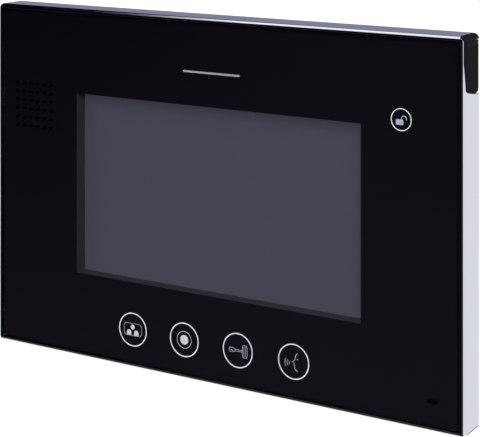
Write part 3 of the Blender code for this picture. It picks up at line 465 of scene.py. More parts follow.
def milky_acrylic():
    """Frosted acrylic that spreads the light of the key behind it."""
    look = Look("milky_acrylic", roughness=0.3)
    cloud = look.noise(2 * MM, 3.0)
    look.colour(look.mix(cloud, (0.62, 0.66, 0.70), (0.76, 0.79, 0.82)))
    look.put("Subsurface Weight", 0.3)
    look.put("Subsurface Scale", 0.8 * MM)
    look.bump(look.noise(0.4 * MM), 0.004 * MM)
    return look


def open_foam():
    """Open-cell foam: pores in a dull dark body."""
    look = Look("open_foam", roughness=0.95, specular=0.1)
    pores = look.cells(0.5 * MM)
    look.colour(look.mix(look.ramp(pores, 0.1, 0.6), (0.008, 0.008, 0.009), (0.035, 0.035, 0.037)))
    look.bump(pores, 0.12 * MM)
    return look


def grille_cloth():
    """Black acoustic cloth: a plain weave of threads that cross over and under."""
    look = Look("grille_cloth", roughness=0.85, specular=0.0)
    x, _, z = look.axes()
    warp = look.stripes(x, CLOTH_PITCH)
    weft = look.stripes(z, CLOTH_PITCH)
    weave = look.maths("MULTIPLY", warp, weft)
    shade = look.ramp(weave, -1.0, 1.0)
    look.colour(look.mix(shade, (0.00005, 0.00005, 0.00006), (0.0004, 0.0004, 0.0005)))
    look.bump(look.noise(0.1 * MM), 0.02 * MM)
    return look


def cone_paper():
    """Pressed paper pulp, with fibres that lie across the cone."""
    look = Look("cone_paper", roughness=0.85, specular=0.2)
    fibres = look.noise(0.5 * MM, 5.0, (1.0, 0.3, 0.6))
    look.colour(look.mix(fibres, (0.016, 0.015, 0.013), (0.06, 0.055, 0.048)))
    look.bump(fibres, 0.04 * MM)
    return look


def wound_copper():
    """Enamelled wire wound in close turns about the speaker's axis."""
    look = Look("wound_copper", roughness=0.35, metallic=1.0)
    _, y, _ = look.axes()
    turns = look.stripes(y, 0.16 * MM)
    look.colour(look.mix(look.ramp(turns, -1.0, 1.0), (0.35, 0.12, 0.04), (0.85, 0.42, 0.20)))
    look.bump(turns, 0.03 * MM)
    return look


def moulded_nylon():
    """Natural nylon: creamy, slightly clear, paler where its edges are rubbed."""
    look = Look("moulded_nylon", roughness=0.5)
    drift = look.noise(3 * MM, 3.0)
    edge = look.maths("MULTIPLY", look.worn_edges(0.25 * MM), 0.4)
    body = look.mix(drift, (0.66, 0.63, 0.54), (0.78, 0.75, 0.66))
    look.colour(look.mix(edge, body, (0.88, 0.86, 0.80)))
    look.put("Subsurface Weight", 0.15)
    look.put("Subsurface Scale", 0.5 * MM)
    look.bump(look.noise(0.25 * MM), 0.008 * MM)
    return look


def polyimide():
    """Amber flex circuit with its copper lines showing through."""
    look = Look("polyimide", roughness=0.3)
    x, _, _ = look.axes()
    lines = look.ramp(look.stripes(x, 0.8 * MM), 0.0, 0.3)
    shade = look.noise(4 * MM, 3.0)
    film = look.mix(shade, (0.42, 0.17, 0.02), (0.56, 0.26, 0.04))
    look.colour(look.mix(lines, film, (0.74, 0.38, 0.10)))
    look.bump(lines, 0.01 * MM)
    return look


def wire_sleeve(name, dark, light):
    """Extruded insulation with a slow drift in its shade and gloss."""
    look = Look(name, roughness=0.4)
    drift = look.noise(2.5 * MM, 3.0)
    look.colour(look.mix(drift, dark, light))
    look.put("Roughness", look.ramp(drift, 0.2, 0.8, 0.32, 0.5))
    look.bump(look.noise(0.3 * MM), 0.006 * MM)
    return look


def can_aluminium():
    """Drawn aluminium, brushed round the can."""
    look = Look("can_aluminium", metallic=1.0, roughness=0.3)
    brushed = look.noise(0.3 * MM, 3.0, (1.0, 0.06, 1.0))
    look.colour(look.mix(brushed, (0.62, 0.63, 0.65), (0.82, 0.83, 0.85)))
    look.put("Roughness", look.ramp(brushed, 0.2, 0.8, 0.22, 0.4))
    look.bump(brushed, 0.003 * MM)
    return look


def make_looks():
    """One finished material for each of the record's slots."""
    resin = ((0.014, 0.014, 0.015), (0.022, 0.022, 0.023))
    return {
        "chrome": chrome(),
        "clear_glass": clear_sheet(),
        "print_film": printed_film(),
        "housing_plastic": moulded_plastic("skirt_plastic", SKIRT_DARK, SKIRT_LIGHT, 0.55),
        "cover_plastic": moulded_plastic("back_plastic", COVER_DARK, COVER_LIGHT, 0.52),
        "lcd_cell": display_cell(),
        "lcd_steel": brushed_steel("bezel_steel", (0.42, 0.43, 0.45), (0.62, 0.63, 0.65), 0.34),
        "lcd_tray": moulded_plastic("tray_plastic", (0.66, 0.66, 0.63), (0.74, 0.74, 0.71), 0.5),
        "circuit_board": circuit_board(),
        "light_guide": milky_acrylic(),
        "black_rubber": soft_rubber("flap_rubber", RUBBER_DARK, RUBBER_LIGHT),
        "foam": open_foam(),
        "mesh_cloth": grille_cloth(),
        "cone_paper": cone_paper(),
        "copper_coil": wound_copper(),
        "plated_steel": brushed_steel("zinc_steel", (0.40, 0.41, 0.43), (0.66, 0.67, 0.69), 0.36),
        "component_black": moulded_plastic("component_resin", *resin, 0.45, grain=0.2 * MM),
        "connector_nylon": moulded_nylon(),
        "flex_film": polyimide(),
        "red_wire": wire_sleeve("red_sleeve", (0.36, 0.012, 0.010), (0.55, 0.03, 0.02)),
        "black_wire": wire_sleeve("black_sleeve", (0.010, 0.010, 0.011), (0.024, 0.024, 0.025)),
        "capacitor_sleeve": can_aluminium(),
    }


def make_inks():
    """The printed inks, from the bright rings to the dim thin lines."""
    return {
        "ring": ink("ring_ink", (0.62, 0.61, 0.62)),
        "bright": ink("bright_ink", (0.46, 0.44, 0.46)),
        "lock": ink("lock_ink", (0.29, 0.295, 0.335)),
        "dim": ink("dim_ink", (0.24, 0.24, 0.26)),
        "fine": ink("fine_ink", (0.36, 0.36, 0.40)),
    }


# ---------------------------------------------------------------- shapes

def y_of(depth):
    """The Y coordinate of a plane this far behind the front of the glass."""
    return FRONT + depth


def middle_of(node):
    low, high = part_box(node)
    return (low + high) / 2


def rounded_rectangle(width, height, corner, steps):
    """Points (x, z) round a rectangle, with its corners as arcs."""
    points = []
    for turn, (side, up) in enumerate(((1, 1), (-1, 1), (-1, -1), (1, -1))):
        for step in range(steps + 1):
            angle = (turn + step / steps) * math.pi / 2
            points.append((
                side * (width / 2 - corner) + corner * math.cos(angle),
                up * (height / 2 - corner) + corner * math.sin(angle),
            ))
    return points


def arc(centre, radius, start, end, steps):
    """Points on an arc, angles in degrees."""
    angles = [math.radians(start + (end - start) * step / steps) for step in range(steps + 1)]
    return [(centre[0] + radius * math.cos(a), centre[1] + radius * math.sin(a)) for a in angles]


def fillet(corners, steps=8):
    """A closed outline from (x, y, radius) corners, each rounded by its radius."""
    points = []
    for index, (x, y, radius) in enumerate(corners):
        here = Vector((x, y))
        before = (Vector(corners[index - 1][:2]) - here).normalized()
        after = (Vector(corners[(index + 1) % len(corners)][:2]) - here).normalized()
        if radius == 0.0:
            points.append((x, y))
            continue
        half = before.angle(after) / 2
        centre = here + (before + after).normalized() * radius / math.sin(half)
        start = here + before * radius / math.tan(half) - centre
        sweep = math.pi - 2 * half
        clockwise = start.x * (here - centre).y < start.y * (here - centre).x
        turn = -sweep if clockwise else sweep
        for step in range(steps + 1):
            angle = turn * step / steps
            points.append((
                centre.x + start.x * math.cos(angle) - start.y * math.sin(angle),
                centre.y + start.x * math.sin(angle) + start.y * math.cos(angle),
            ))
    return points


def new_object(name, shape):
    """The bmesh as an object, with its faces turned outwards."""
    bmesh.ops.recalc_face_normals(shape, faces=shape.faces)
    mesh = bpy.data.meshes.new(name)
    shape.to_mesh(mesh)
    shape.free()
    thing = bpy.data.objects.new(name, mesh)
    bpy.context.scene.collection.objects.link(thing)
    return thing


def skin(shape, rings, closed=False):
    """Faces between rings of points that have the same count. Closed rings make a hoop, and
    open ones are capped at both ends."""
    pairs = list(zip(rings, rings[1:]))
    if closed:
        pairs.append((rings[-1], rings[0]))
    for first, second in pairs:
        for index in range(len(first)):
            after = (index + 1) % len(first)
            shape.faces.new((first[index], first[after], second[after], second[index]))
    if not closed:
        shape.faces.new(rings[0])
        shape.faces.new(rings[-1])


def loft(name, size, corner, profile, closed=False, steps=8, centre=(0.0, 0.0)):
    """Rounded rectangles joined through a profile of (inset, depth) points."""
    shape = bmesh.new()
    rings = []
    for inset, depth in profile:
        radius = max(corner - inset, LEAST_CORNER)
        outline = rounded_rectangle(size[0] - 2 * inset, size[1] - 2 * inset, radius, steps)
        place = [(centre[0] + x, y_of(depth), centre[1] + z) for x, z in outline]
        rings.append([shape.verts.new(point) for point in place])
    skin(shape, rings, closed)
    return new_object(name, shape)


def prism(shape, outline, front, back):
    """Adds a flat-faced plate with this (x, z) outline between two depths."""
    rings = [[shape.verts.new((x, y_of(depth), z)) for x, z in outline] for depth in (front, back)]
    skin(shape, rings)


def hoop(shape, centre, radius, line, front, back, sides=64):
    """Adds a flat ring whose line lies inside the radius."""
    inner = radius - line
    rings = []
    for reach, depth in ((radius, front), (radius, back), (inner, back), (inner, front)):
        circle = arc(centre, reach, 0.0, 360.0, sides)[:-1]
        rings.append([shape.verts.new((x, y_of(depth), z)) for x, z in circle])
    skin(shape, rings, closed=True)


def stroke(points, line):
    """The outline of a line of this width through the points."""
    left, right = [], []
    for index, (x, z) in enumerate(points):
        back_x, back_z = points[max(index - 1, 0)]
        next_x, next_z = points[min(index + 1, len(points) - 1)]
        along = Vector((next_x - back_x, next_z - back_z)).normalized()
        side = Vector((-along.y, along.x)) * line / 2
        left.append((x + side.x, z + side.y))
        right.append((x - side.x, z - side.y))
    return left + right[::-1]


def modifier(thing, kind, **settings):
    made = thing.modifiers.new(kind.lower(), kind)
    for key, value in settings.items():
        setattr(made, key, value)
    return made


def settled(thing):
    """The object with its modifiers made part of its mesh."""
    bpy.context.view_layer.update()
    graph = bpy.context.evaluated_depsgraph_get()
    mesh = bpy.data.meshes.new_from_object(thing.evaluated_get(graph))
    mesh.name = thing.name
    thing.modifiers.clear()
    thing.data = mesh
    return thing


def combined(thing, operation, *others):
    """A Boolean of a piece with others, which are then removed. Their faces bring their own
    materials along."""
    for other in others:
        modifier(
            thing, "BOOLEAN", operation=operation, object=other, solver="EXACT",
            material_mode="TRANSFER",
        )
    settled(thing)
    for other in others:
        bpy.data.objects.remove(other, do_unlink=True)
    return thing


def carved(thing, *cutters):
    return combined(thing, "DIFFERENCE", *cutters)


def keep_flat(thing):
    """Weights the normals so that the flat faces beside a rounded edge stay flat."""
    modifier(thing, "WEIGHTED_NORMAL", keep_sharp=True, mode="FACE_AREA", weight=80)


def shaded(thing, angle):
    """Smooth shading over edges that turn by less than the angle, in degrees."""
    thing.data.shade_smooth()
    thing.data.set_sharp_from_angle(angle=math.radians(angle))
    keep_flat(thing)
    return thing


def dressed(thing, look):
    thing.data.materials.clear()
    thing.data.materials.append(look.material)
    return thing


def finish_piece(thing, body="monitor", replaces=()):
    """Ties a piece to the body it rides and hides the CAD nodes it replaces."""
    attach(thing, body)
    if replaces:
        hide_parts(*replaces)
    return thing


# ---------------------------------------------------------------- pieces that replace CAD nodes

def outer_profile():
    """The band's outside as (inset, depth) points, from the rounded lip to the back edge."""
    profile = arc((LIP_RADIUS, LIP_RADIUS), LIP_RADIUS, 270, 180, 16)
    profile += arc((BACK_RADIUS, BAND_DEPTH - BACK_RADIUS), BACK_RADIUS, 180, 90, 3)
    return profile


def inner_profile():
    """The band's inside, from the back edge over the ledge to the lip's inner edge."""
    profile = arc((BAND_WALL - BACK_RADIUS, BAND_DEPTH - BACK_RADIUS), BACK_RADIUS, 90, 0, 3)
    profile += [
        (BAND_WALL, LEDGE_BACK),
        (LEDGE_INSET, LEDGE_BACK),
        (LEDGE_INSET, LEDGE_FRONT),
        (BAND_WALL, LEDGE_FRONT),
    ]
    profile += arc((BAND_WALL - LIP_INNER, LIP_INNER), LIP_INNER, 360, 270, 3)
    return profile


def side_plate(name, outline, left, right):
    """A plate between two X positions, from a (y, z) outline."""
    shape = bmesh.new()
    rings = [[shape.verts.new((x, y, z)) for y, z in outline] for x in (left, right)]
    skin(shape, rings)
    return new_object(name, shape)


def side_notch():
    """The recess for the flap and the strip: their outline grown by the fit."""
    lean, corner, lowest, _ = FLAP_CORNERS
    front = y_of(FLAP_FRONT - FIT)
    beyond = y_of(BAND_DEPTH + MM)
    above = BAND_HIGH.z + MM
    bottom = FLAP_HIGH.z - lowest[1] - FIT
    outline = fillet([
        (front, above, 0.0),
        (front, FLAP_HIGH.z - lean[1], 0.0),
        (y_of(corner[0] - FIT), FLAP_HIGH.z - corner[1] - FIT, corner[2] + FIT),
        (y_of(lowest[0]), bottom, lowest[2] + FIT),
        (beyond, bottom, 0.0),
        (beyond, above, 0.0),
    ])
    return side_plate("side_notch", outline, FLAP_LOW.x - FIT, BAND_HIGH.x + MM)


def corner_notch():
    """The recess that lets the strip wrap on to the band's top."""
    shape = bmesh.new()
    left, right = STRIP_LOW.x - FIT, BAND_HIGH.x + MM
    low, high = STRIP_LOW.z - FIT, BAND_HIGH.z + MM
    outline = [(left, low), (right, low), (right, high), (left, high)]
    prism(shape, outline, FLAP_FRONT - FIT, BAND_DEPTH + MM)
    return new_object("corner_notch", shape)


def finger_window():
    """The opening behind the flap, through which the two thumbwheels are reached."""
    front, back = (y_of(depth) for depth in FINGER_WINDOW)
    low, high = FLAP_LOW.z + FINGER_MARGIN, FLAP_HIGH.z - FINGER_MARGIN
    corners = [(front, high), (front, low), (back, low), (back, high)]
    outline = fillet([(y, z, FINGER_CORNER) for y, z in corners])
    return side_plate("finger_window", outline, FLAP_LOW.x - 2 * MM, BAND_HIGH.x + MM)


def make_band():
    """The chromed band as a hoop, with its recess for the flap and the strip."""
    band = loft(
        "chrome_band", (BAND_WIDTH, BAND_HEIGHT), BAND_CORNER, outer_profile() + inner_profile(),
        closed=True, steps=12,
    )
    dressed(band, looks["chrome"])
    carved(band, side_notch(), corner_notch(), finger_window())
    shaded(band, 30)
    return finish_piece(band, replaces=["chrome_frame"])


def make_flap():
    """The rubber flap: the band's outer shape cut to the flap's outline, with a hinge groove."""
    corners = [(y_of(depth), FLAP_HIGH.z - drop, radius) for depth, drop, radius in FLAP_CORNERS]
    top = [(y_of(FLAP_FRONT), FLAP_HIGH.z, 0.0)]
    outline = fillet(top + corners + [(FLAP_HIGH.y, FLAP_HIGH.z, 0.0)])
    flap = side_plate("rubber_flap", outline, FLAP_LOW.x, BAND_HIGH.x + MM)
    limit = loft("flap_limit", (BAND_WIDTH, BAND_HEIGHT), BAND_CORNER, outer_profile(), steps=12)
    combined(flap, "INTERSECT", limit)
    low = FLAP_HIGH.z - 4 * HINGE_GROOVE
    high = low + HINGE_GROOVE
    front, back = y_of(-MM), y_of(BAND_DEPTH + MM)
    groove_outline = [(front, low), (back, low), (back, high), (front, high)]
    groove_floor = BAND_HIGH.x - HINGE_GROOVE / 2
    carved(flap, side_plate("hinge_groove", groove_outline, groove_floor, BAND_HIGH.x + MM))
    modifier(
        flap, "BEVEL", width=FLAP_EDGE, segments=3, limit_method="ANGLE",
        angle_limit=math.radians(40),
    )
    dressed(shaded(flap, 40), looks["black_rubber"])
    return finish_piece(flap, body="port_flap", replaces=["port_flap"])


def drill_grid():
    """One cutter with the grille's drills."""
    shape = bmesh.new()
    centre = middle_of("speaker_mesh")
    reach = (GRILLE_COUNT - 1) / 2
    for column in range(GRILLE_COUNT):
        for row in range(GRILLE_COUNT):
            x = centre.x + (column - reach) * GRILLE_PITCH
            z = centre.z + (row - reach) * GRILLE_PITCH
            prism(shape, arc((x, z), GRILLE_HOLE, 0.0, 360.0, 24)[:-1], *THROUGH_GLASS)
    return new_object("grille_drills", shape)


def make_glass():
    """The cover glass: flat face, ground bevel, drilled speaker holes, microphone slot."""
    profile = [
        (BEVEL_WIDTH, 0.0),
        (0.0, BEVEL_DEPTH),
        (0.0, GLASS_THICKNESS - EDGE_SOFTNESS),
        (EDGE_SOFTNESS, GLASS_THICKNESS),
    ]
    glass = loft("bevelled_glass", (GLASS_WIDTH, GLASS_HEIGHT), GLASS_CORNER, profile)
    dressed(glass, looks["clear_glass"])
    mic = middle_of("microphone")
    slot_corner = MIC_SLOT[1] / 2 - 0.01 * MM
    slot_profile = [(0.0, depth) for depth in THROUGH_GLASS]
    slot = loft("mic_slot", MIC_SLOT, slot_corner, slot_profile, centre=(mic.x, mic.z))
    edge = ground_edge()
    carved(glass, dressed(drill_grid(), edge), dressed(slot, edge))
    shaded(glass, 9)
    return finish_piece(glass, replaces=["front_glass"])


def make_film():
    """The printed film: its window, the grille's holes, and a slot narrower than the glass's."""
    low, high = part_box("graphic_film")
    front, back = low.y - FRONT, high.y - FRONT
    film = loft(
        "opened_film", (high.x - low.x, high.z - low.z), GLASS_CORNER,
        [(0.0, front), (0.0, back)],
    )
    dressed(film, looks["print_film"])
    through = [(0.0, front - MM), (0.0, back + MM)]
    screen = middle_of("lcd_panel")
    window = loft("film_window", WINDOW, WINDOW_CORNER, through, centre=(screen.x, screen.z))
    mic = middle_of("microphone")
    slot = loft("film_slot", MIC_OPENING, MIC_OPENING_CORNER, through, centre=(mic.x, mic.z))
    carved(film, window, drill_grid(), slot)
    shaded(film, 30)
    return finish_piece(film, replaces=["graphic_film"])


def make_cloth():
    """The grille cloth: a real weave, whose threads rise and dip as they cross."""
    shape = bmesh.new()
    width = CLOTH_HIGH.x - CLOTH_LOW.x
    count = int(width / CLOTH_PITCH * POINTS_PER_THREAD)
    middle = (CLOTH_LOW.y + CLOTH_HIGH.y) / 2
    rise = (CLOTH_HIGH.y - CLOTH_LOW.y) / 2 - 0.08 * MM
    turn = math.pi * width / CLOTH_PITCH / count
    wave = [math.sin(turn * step) for step in range(count + 1)]
    grid = [
        [
            shape.verts.new((
                CLOTH_LOW.x + width * column / count,
                middle + rise * wave[column] * wave[row],
                CLOTH_LOW.z + width * row / count,
            ))
            for row in range(count + 1)
        ]
        for column in range(count + 1)
    ]
    for left, right in zip(grid, grid[1:]):
        for row in range(count):
            shape.faces.new((left[row], right[row], right[row + 1], left[row + 1]))
    cloth = dressed(new_object("woven_grille_cloth", shape), looks["mesh_cloth"])
    modifier(cloth, "SOLIDIFY", thickness=CLOTH_THREAD, offset=0.0)
    cloth.data.shade_smooth()
    return finish_piece(cloth, replaces=["speaker_mesh"])


# ---------------------------------------------------------------- printed marks

def printed(name, shape, look):
    """A printed mark, which belongs to the film behind it."""
    return finish_piece(dressed(new_object(name, shape), look))


def ring_mark(name, node, radius, line, look):
    """The ring round a key."""
    shape = bmesh.new()
    centre = middle_of(node)
    hoop(shape, (centre.x, centre.z), radius, line, PRINT_FRONT, PRINT_BACK)
    return printed(name, shape, look)


class Sign:
    """A pictogram in the making, drawn in millimetres from a key's centre."""

    def __init__(self, node):
        self.centre = middle_of(node)
        self.shape = bmesh.new()

    def placed(self, points):
        return [(self.centre.x + x * MM, self.centre.z + z * MM) for x, z in points]

    def plate(self, points):
        prism(self.shape, self.placed(points), PRINT_FRONT, PRINT_BACK)

    def line(self, points, width):
        self.plate(stroke(points, width))

    def disc(self, x, z, radius):
        self.plate(arc((x, z), radius, 0.0, 360.0, 32)[:-1])

    def ring(self, x, z, radius, width):
        centre = self.placed([(x, z)])[0]
        hoop(self.shape, centre, radius * MM, width * MM, PRINT_FRONT, PRINT_BACK, 48)

    def loop(self, points, width):
        """A closed line: the outline and the same outline drawn in by the line's width."""
        middle_x = (min(x for x, _ in points) + max(x for x, _ in points)) / 2
        middle_z = (min(z for _, z in points) + max(z for _, z in points)) / 2
        half_x = max(x for x, _ in points) - middle_x
        half_z = max(z for _, z in points) - middle_z
        rings = []
        for shrink, depth in (
            (0.0, PRINT_FRONT), (0.0, PRINT_BACK), (width, PRINT_BACK), (width, PRINT_FRONT),
        ):
            inner = [
                (middle_x + (x - middle_x) * (1 - shrink / half_x),
                 middle_z + (z - middle_z) * (1 - shrink / half_z))
                for x, z in points
            ]
            rings.append([self.shape.verts.new((x, y_of(depth), z)) for x, z in self.placed(inner)])
        skin(self.shape, rings, closed=True)


def people_sign():
    """People on a screen with cut corners: a head over two rounded shoulders."""
    sign = Sign("intercom_key_lens")
    screen = Sign("intercom_key_lens")
    screen.loop(rounded_rectangle(10.3, 5.9, 1.0, 1), 0.22)
    printed("screen_sign", screen.shape, inks["dim"])
    sign.disc(-0.1, 1.15, 1.15)
    shoulder = 1.28
    for x in (-2.15, 2.0):
        dome = arc((x, -1.5), shoulder, 0.0, 180.0, 16)
        sign.plate([(x + shoulder, -2.7), *dome, (x - shoulder, -2.7)])
    return printed("people_sign", sign.shape, inks["bright"])


def disc_sign():
    """A filled disc inside a thin circle."""
    circle = Sign("monitor_key_lens")
    circle.ring(0.0, 0.0, 4.05, 0.24)
    printed("circle_sign", circle.shape, inks["fine"])
    sign = Sign("monitor_key_lens")
    sign.disc(0.0, 0.0, 2.25)
    return printed("disc_sign", sign.shape, inks["bright"])


def key_sign():
    """A key lying on its side: an upright bow, a shaft and a bit."""
    sign = Sign("door_key_lens")
    bow_x = 3.75
    bow = [(bow_x + x, z) for x, z in rounded_rectangle(2.7, 5.9, 1.1, 6)]
    slot = [(bow_x + x, z) for x, z in rounded_rectangle(1.2, 4.2, 0.55, 6)]
    bit = [
        (-1.9, 0.35), (-1.9, 0.95), (-4.5, 0.95), (-4.5, -0.95), (-3.7, -0.95), (-3.7, -0.2),
        (-2.8, -0.2), (-2.8, -0.95), (-1.9, -0.95), (-1.9, -0.35),
    ]
    sign.loop(bow, 0.2)
    sign.loop(slot, 0.16)
    for start, end in zip(bit, bit[1:]):
        sign.line([start, end], 0.2)
    for z in (0.35, -0.35):
        sign.line([(-1.9, z), (2.4, z)], 0.18)
    return printed("key_sign", sign.shape, inks["fine"])


def talk_sign():
    """A plain head seen from the side, with a wedge nose and one lip, and three sound waves."""
    sign = Sign("talk_key_lens")
    brow = arc((3.7, 1.7), 2.8, 125.0, 175.0, 8)
    nose = [(0.8, 1.1), (-0.7, -0.2), (0.4, -0.5)]
    lips = [(0.0, -1.1), (0.8, -1.5), (0.2, -2.1)]
    chin = arc((2.0, -2.5), 1.4, 165.0, 280.0, 10)
    sign.line([*brow, *nose, *lips, *chin], 0.24)
    sign.line([(1.7, 1.2), (2.3, 1.3)], 0.3)
    for radius in (1.5, 2.6, 3.7):
        sign.line(arc((-0.7, -0.8), radius, 152.0, 208.0, 10), 0.2)
    return printed("talk_sign", sign.shape, inks["fine"])


def padlock_sign():
    """An open padlock: a solid body and a shackle swung clear at one side."""
    sign = Sign("lock_key_lens")
    body_x, body_z = -0.75, -1.12
    sign.plate([(body_x + x, body_z + z) for x, z in rounded_rectangle(3.55, 2.35, 0.2, 4)])
    bend = arc((1.34, 0.5), 1.18, 0.0, 180.0, 14)
    sign.line([(2.52, -0.1), *bend, (0.16, -0.1)], 0.38)
    return printed("padlock_sign", sign.shape, inks["lock"])


def make_marks():
    for node in ("intercom_key_lens", "monitor_key_lens", "door_key_lens", "talk_key_lens"):
        name = node.replace("_key_lens", "_key_ring")
        ring_mark(name, node, KEY_RING_RADIUS, KEY_RING_LINE, inks["ring"])
    ring_mark("lock_key_ring", "lock_key_lens", LOCK_RING_RADIUS, LOCK_RING_LINE, inks["ring"])
    people_sign()
    disc_sign()
    key_sign()
    talk_sign()
    padlock_sign()
    bar = bmesh.new()
    centre_x, centre_z = NAME_BAR_CENTRE
    outline = rounded_rectangle(*NAME_BAR, NAME_BAR_CORNER, 5)
    prism(bar, [(centre_x + x, centre_z + z) for x, z in outline], PRINT_FRONT, PRINT_BACK)
    printed("name_bar", bar, inks["dim"])


# ---------------------------------------------------------------- CAD nodes that stay

def clean_facets():
    """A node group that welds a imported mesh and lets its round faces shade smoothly."""
    tree = bpy.data.node_groups.new("clean_facets", "GeometryNodeTree")
    tree.interface.new_socket("Geometry", in_out="INPUT", socket_type="NodeSocketGeometry")
    tree.interface.new_socket("Geometry", in_out="OUTPUT", socket_type="NodeSocketGeometry")
    weld = tree.nodes.new("GeometryNodeMergeByDistance")
    weld.inputs["Distance"].default_value = WELD
    drop = tree.nodes.new("GeometryNodeRemoveAttribute")
    drop.inputs["Name"].default_value = "custom_normal"
    faces = tree.nodes.new("GeometryNodeSetShadeSmooth")
    edges = tree.nodes.new("GeometryNodeSetShadeSmooth")
    edges.domain = "EDGE"
    creases = tree.nodes.new("GeometryNodeSetShadeSmooth")
    creases.domain = "EDGE"
    creases.inputs["Shade Smooth"].default_value = False
    angle = tree.nodes.new("GeometryNodeInputMeshEdgeAngle")
    sharp = tree.nodes.new("FunctionNodeCompare")
    sharp.operation = "GREATER_THAN"
    sharp.inputs[1].default_value = CREASE
    tree.links.new(angle.outputs[0], sharp.inputs[0])
    tree.links.new(sharp.outputs[0], creases.inputs["Selection"])
    chain = [tree.nodes.new("NodeGroupInput"), weld, drop, faces, edges, creases]
    chain.append(tree.nodes.new("NodeGroupOutput"))
    for first, second in zip(chain, chain[1:]):
        tree.links.new(first.outputs[0], second.inputs[0])
    return tree


def soften(node, group, width):
    """Rounds a CAD node's sharp edges with modifiers only."""
    cleaning = node.modifiers.new("clean_facets", "NODES")
    cleaning.node_group = group
    if width:
        modifier(node, "DECIMATE", decimate_type="DISSOLVE", angle_limit=COPLANAR)
        modifier(
            node, "BEVEL", width=width, segments=2, limit_method="ANGLE",
            angle_limit=CREASE, use_clamp_overlap=True,
        )
    keep_flat(node)


# How far the edges of the nodes that can be seen are rounded
SOFT_EDGES = {
    "rear_cover": 0.3 * MM,
    "wall_bracket": 0.2 * MM,
    "front_housing": 0.15 * MM,
    "flap_corner_strip": 0.15 * MM,
    "lcd_bezel": 0.12 * MM,
    "door_connector": 0.15 * MM,
    "power_connector": 0.15 * MM,
    "volume_wheel": 0.12 * MM,
    "brightness_wheel": 0.12 * MM,
    "shield_can": 0.2 * MM,
    "video_processor": 0.1 * MM,
    "audio_amplifier": 0.1 * MM,
    "adjuster_board": 0.08 * MM,
    "main_board": 0.1 * MM,
}

# A node that shows another material than its slot's: black felt covers the capsule's face
SHOWN_LOOKS = {"microphone": "mesh_cloth"}


def finish_cad_nodes():
    """A finished material on every node that shows, and softened edges where they are seen."""
    group = clean_facets()
    for name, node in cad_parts.items():
        if node.hide_render:
            continue
        for holder in node.material_slots:
            slot = holder.material.name.split(".")[0]
            holder.material = looks[SHOWN_LOOKS.get(name, slot)].material
        soften(node, group, SOFT_EDGES.get(name, 0.0))


# ---------------------------------------------------------------- stage

def room_colour(room):
    """What a reflection sees, from the direction it takes."""
    x, y, z = room.split(room.node("ShaderNodeTexCoord").outputs["Generated"])
    slanted = room.maths("ADD", y, room.maths("MULTIPLY", x, SLANT))
    axes = {"x": x, "y": y, "z": z, "slanted": slanted}
    colour = ROOM_DARK
    for seen, limits in ROOM_ZONES:
        mask = 1.0
        for axis, start, full in limits:
            mask = room.maths("MULTIPLY", mask, room.ramp(axes[axis], start, full))
        colour = room.mix(mask, colour, seen)
    return colour


def make_studio():
    """White behind the object for the camera. Reflections see a dim room: a blue-grey wall
    behind, a bright wall to the right, a soft box overhead, and white under the object."""
    world = bpy.data.worlds.new("studio")
    world.use_nodes = True
    world.node_tree.nodes.clear()
    bpy.context.scene.world = world
    room = Nodes(world.node_tree)
    seen_by_object = room.node("ShaderNodeBackground")
    room.feed(seen_by_object.inputs["Color"], room_colour(room))
    seen_by_camera = room.node("ShaderNodeBackground")
    room.feed(seen_by_camera.inputs["Color"], (1.0, 1.0, 1.0))
    choice = room.node("ShaderNodeMixShader")
    room.feed(choice.inputs[0], room.node("ShaderNodeLightPath").outputs["Is Camera Ray"])
    room.feed(choice.inputs[1], seen_by_object.outputs[0])
    room.feed(choice.inputs[2], seen_by_camera.outputs[0])
    room.feed(room.node("ShaderNodeOutputWorld").inputs["Surface"], choice.outputs[0])


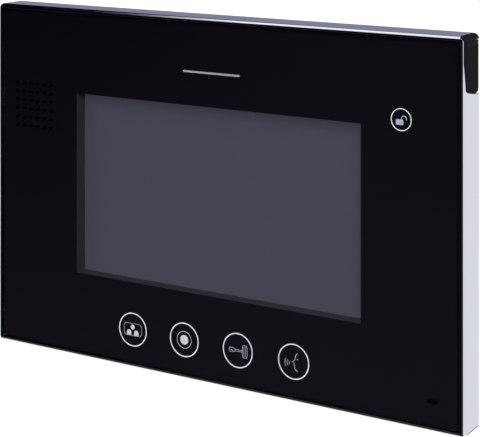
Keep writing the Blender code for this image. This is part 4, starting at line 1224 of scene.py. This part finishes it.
def make_floor():
    """A plain white floor, lit from within so that it stays even. Reflections leave it out."""
    shape = bmesh.new()
    bmesh.ops.create_grid(shape, x_segments=1, y_segments=1, size=FLOOR_REACH)
    floor = new_object("studio_floor", shape)
    floor.location.z = FLOOR_HEIGHT
    look = Look("studio_white", (0.25, 0.25, 0.25), roughness=0.9)
    look.put("Emission Color", (1.0, 1.0, 1.0))
    look.put("Emission Strength", FLOOR_GLOW)
    floor.data.materials.append(look.material)
    floor.visible_glossy = False
    floor.visible_diffuse = False


def soft_light(name, place, size, power):
    """An area light that faces the monitor and that mirrors leave out."""
    light = bpy.data.lights.new(name, "AREA")
    light.size = size
    light.energy = power
    lamp = bpy.data.objects.new(name, light)
    lamp.location = place
    lamp.rotation_euler = (-Vector(place)).to_track_quat("-Z", "Y").to_euler()
    lamp.visible_glossy = False
    bpy.context.scene.collection.objects.link(lamp)


def make_lights():
    soft_light("key_light", (0.9, -1.3, 1.0), size=0.9, power=72.0)
    soft_light("fill_light", (-1.2, -1.2, 0.5), size=1.0, power=22.0)
    soft_light("back_light", (-0.9, 1.3, 0.9), size=1.0, power=50.0)
    soft_light("back_fill", (1.2, 1.2, 0.2), size=1.0, power=24.0)


def shift_driver(camera, channel, value):
    """The lens is shifted only while the camera stands at its own place."""
    driver = camera.data.driver_add(channel).driver
    driver.type = "SCRIPTED"
    place = driver.variables.new()
    place.name = "place"
    place.type = "TRANSFORMS"
    place.targets[0].id = camera
    place.targets[0].transform_type = "LOC_X"
    place.targets[0].transform_space = "WORLD_SPACE"
    driver.expression = f"{value} if abs(place - {CAMERA_PLACE[0]}) < 0.0005 else 0.0"


def make_camera():
    """A long lens to the right of the monitor and a little above it, held level."""
    data = bpy.data.cameras.new("view_camera")
    data.lens = CAMERA_LENS
    data.sensor_width = 36.0
    data.clip_start = 0.01
    data.clip_end = 60.0
    camera = bpy.data.objects.new("view_camera", data)
    camera.location = CAMERA_PLACE
    camera.rotation_euler = (math.pi / 2, 0.0, CAMERA_TURN)
    bpy.context.scene.collection.objects.link(camera)
    bpy.context.scene.camera = camera
    shift_driver(camera, "shift_x", CAMERA_SHIFT[0])
    shift_driver(camera, "shift_y", CAMERA_SHIFT[1])


looks = make_looks()
inks = make_inks()
make_band()
make_glass()
make_film()
make_flap()
make_cloth()
make_marks()
finish_cad_nodes()
make_studio()
make_floor()
make_lights()
make_camera()
bpy.context.scene.view_settings.view_transform = "Standard"
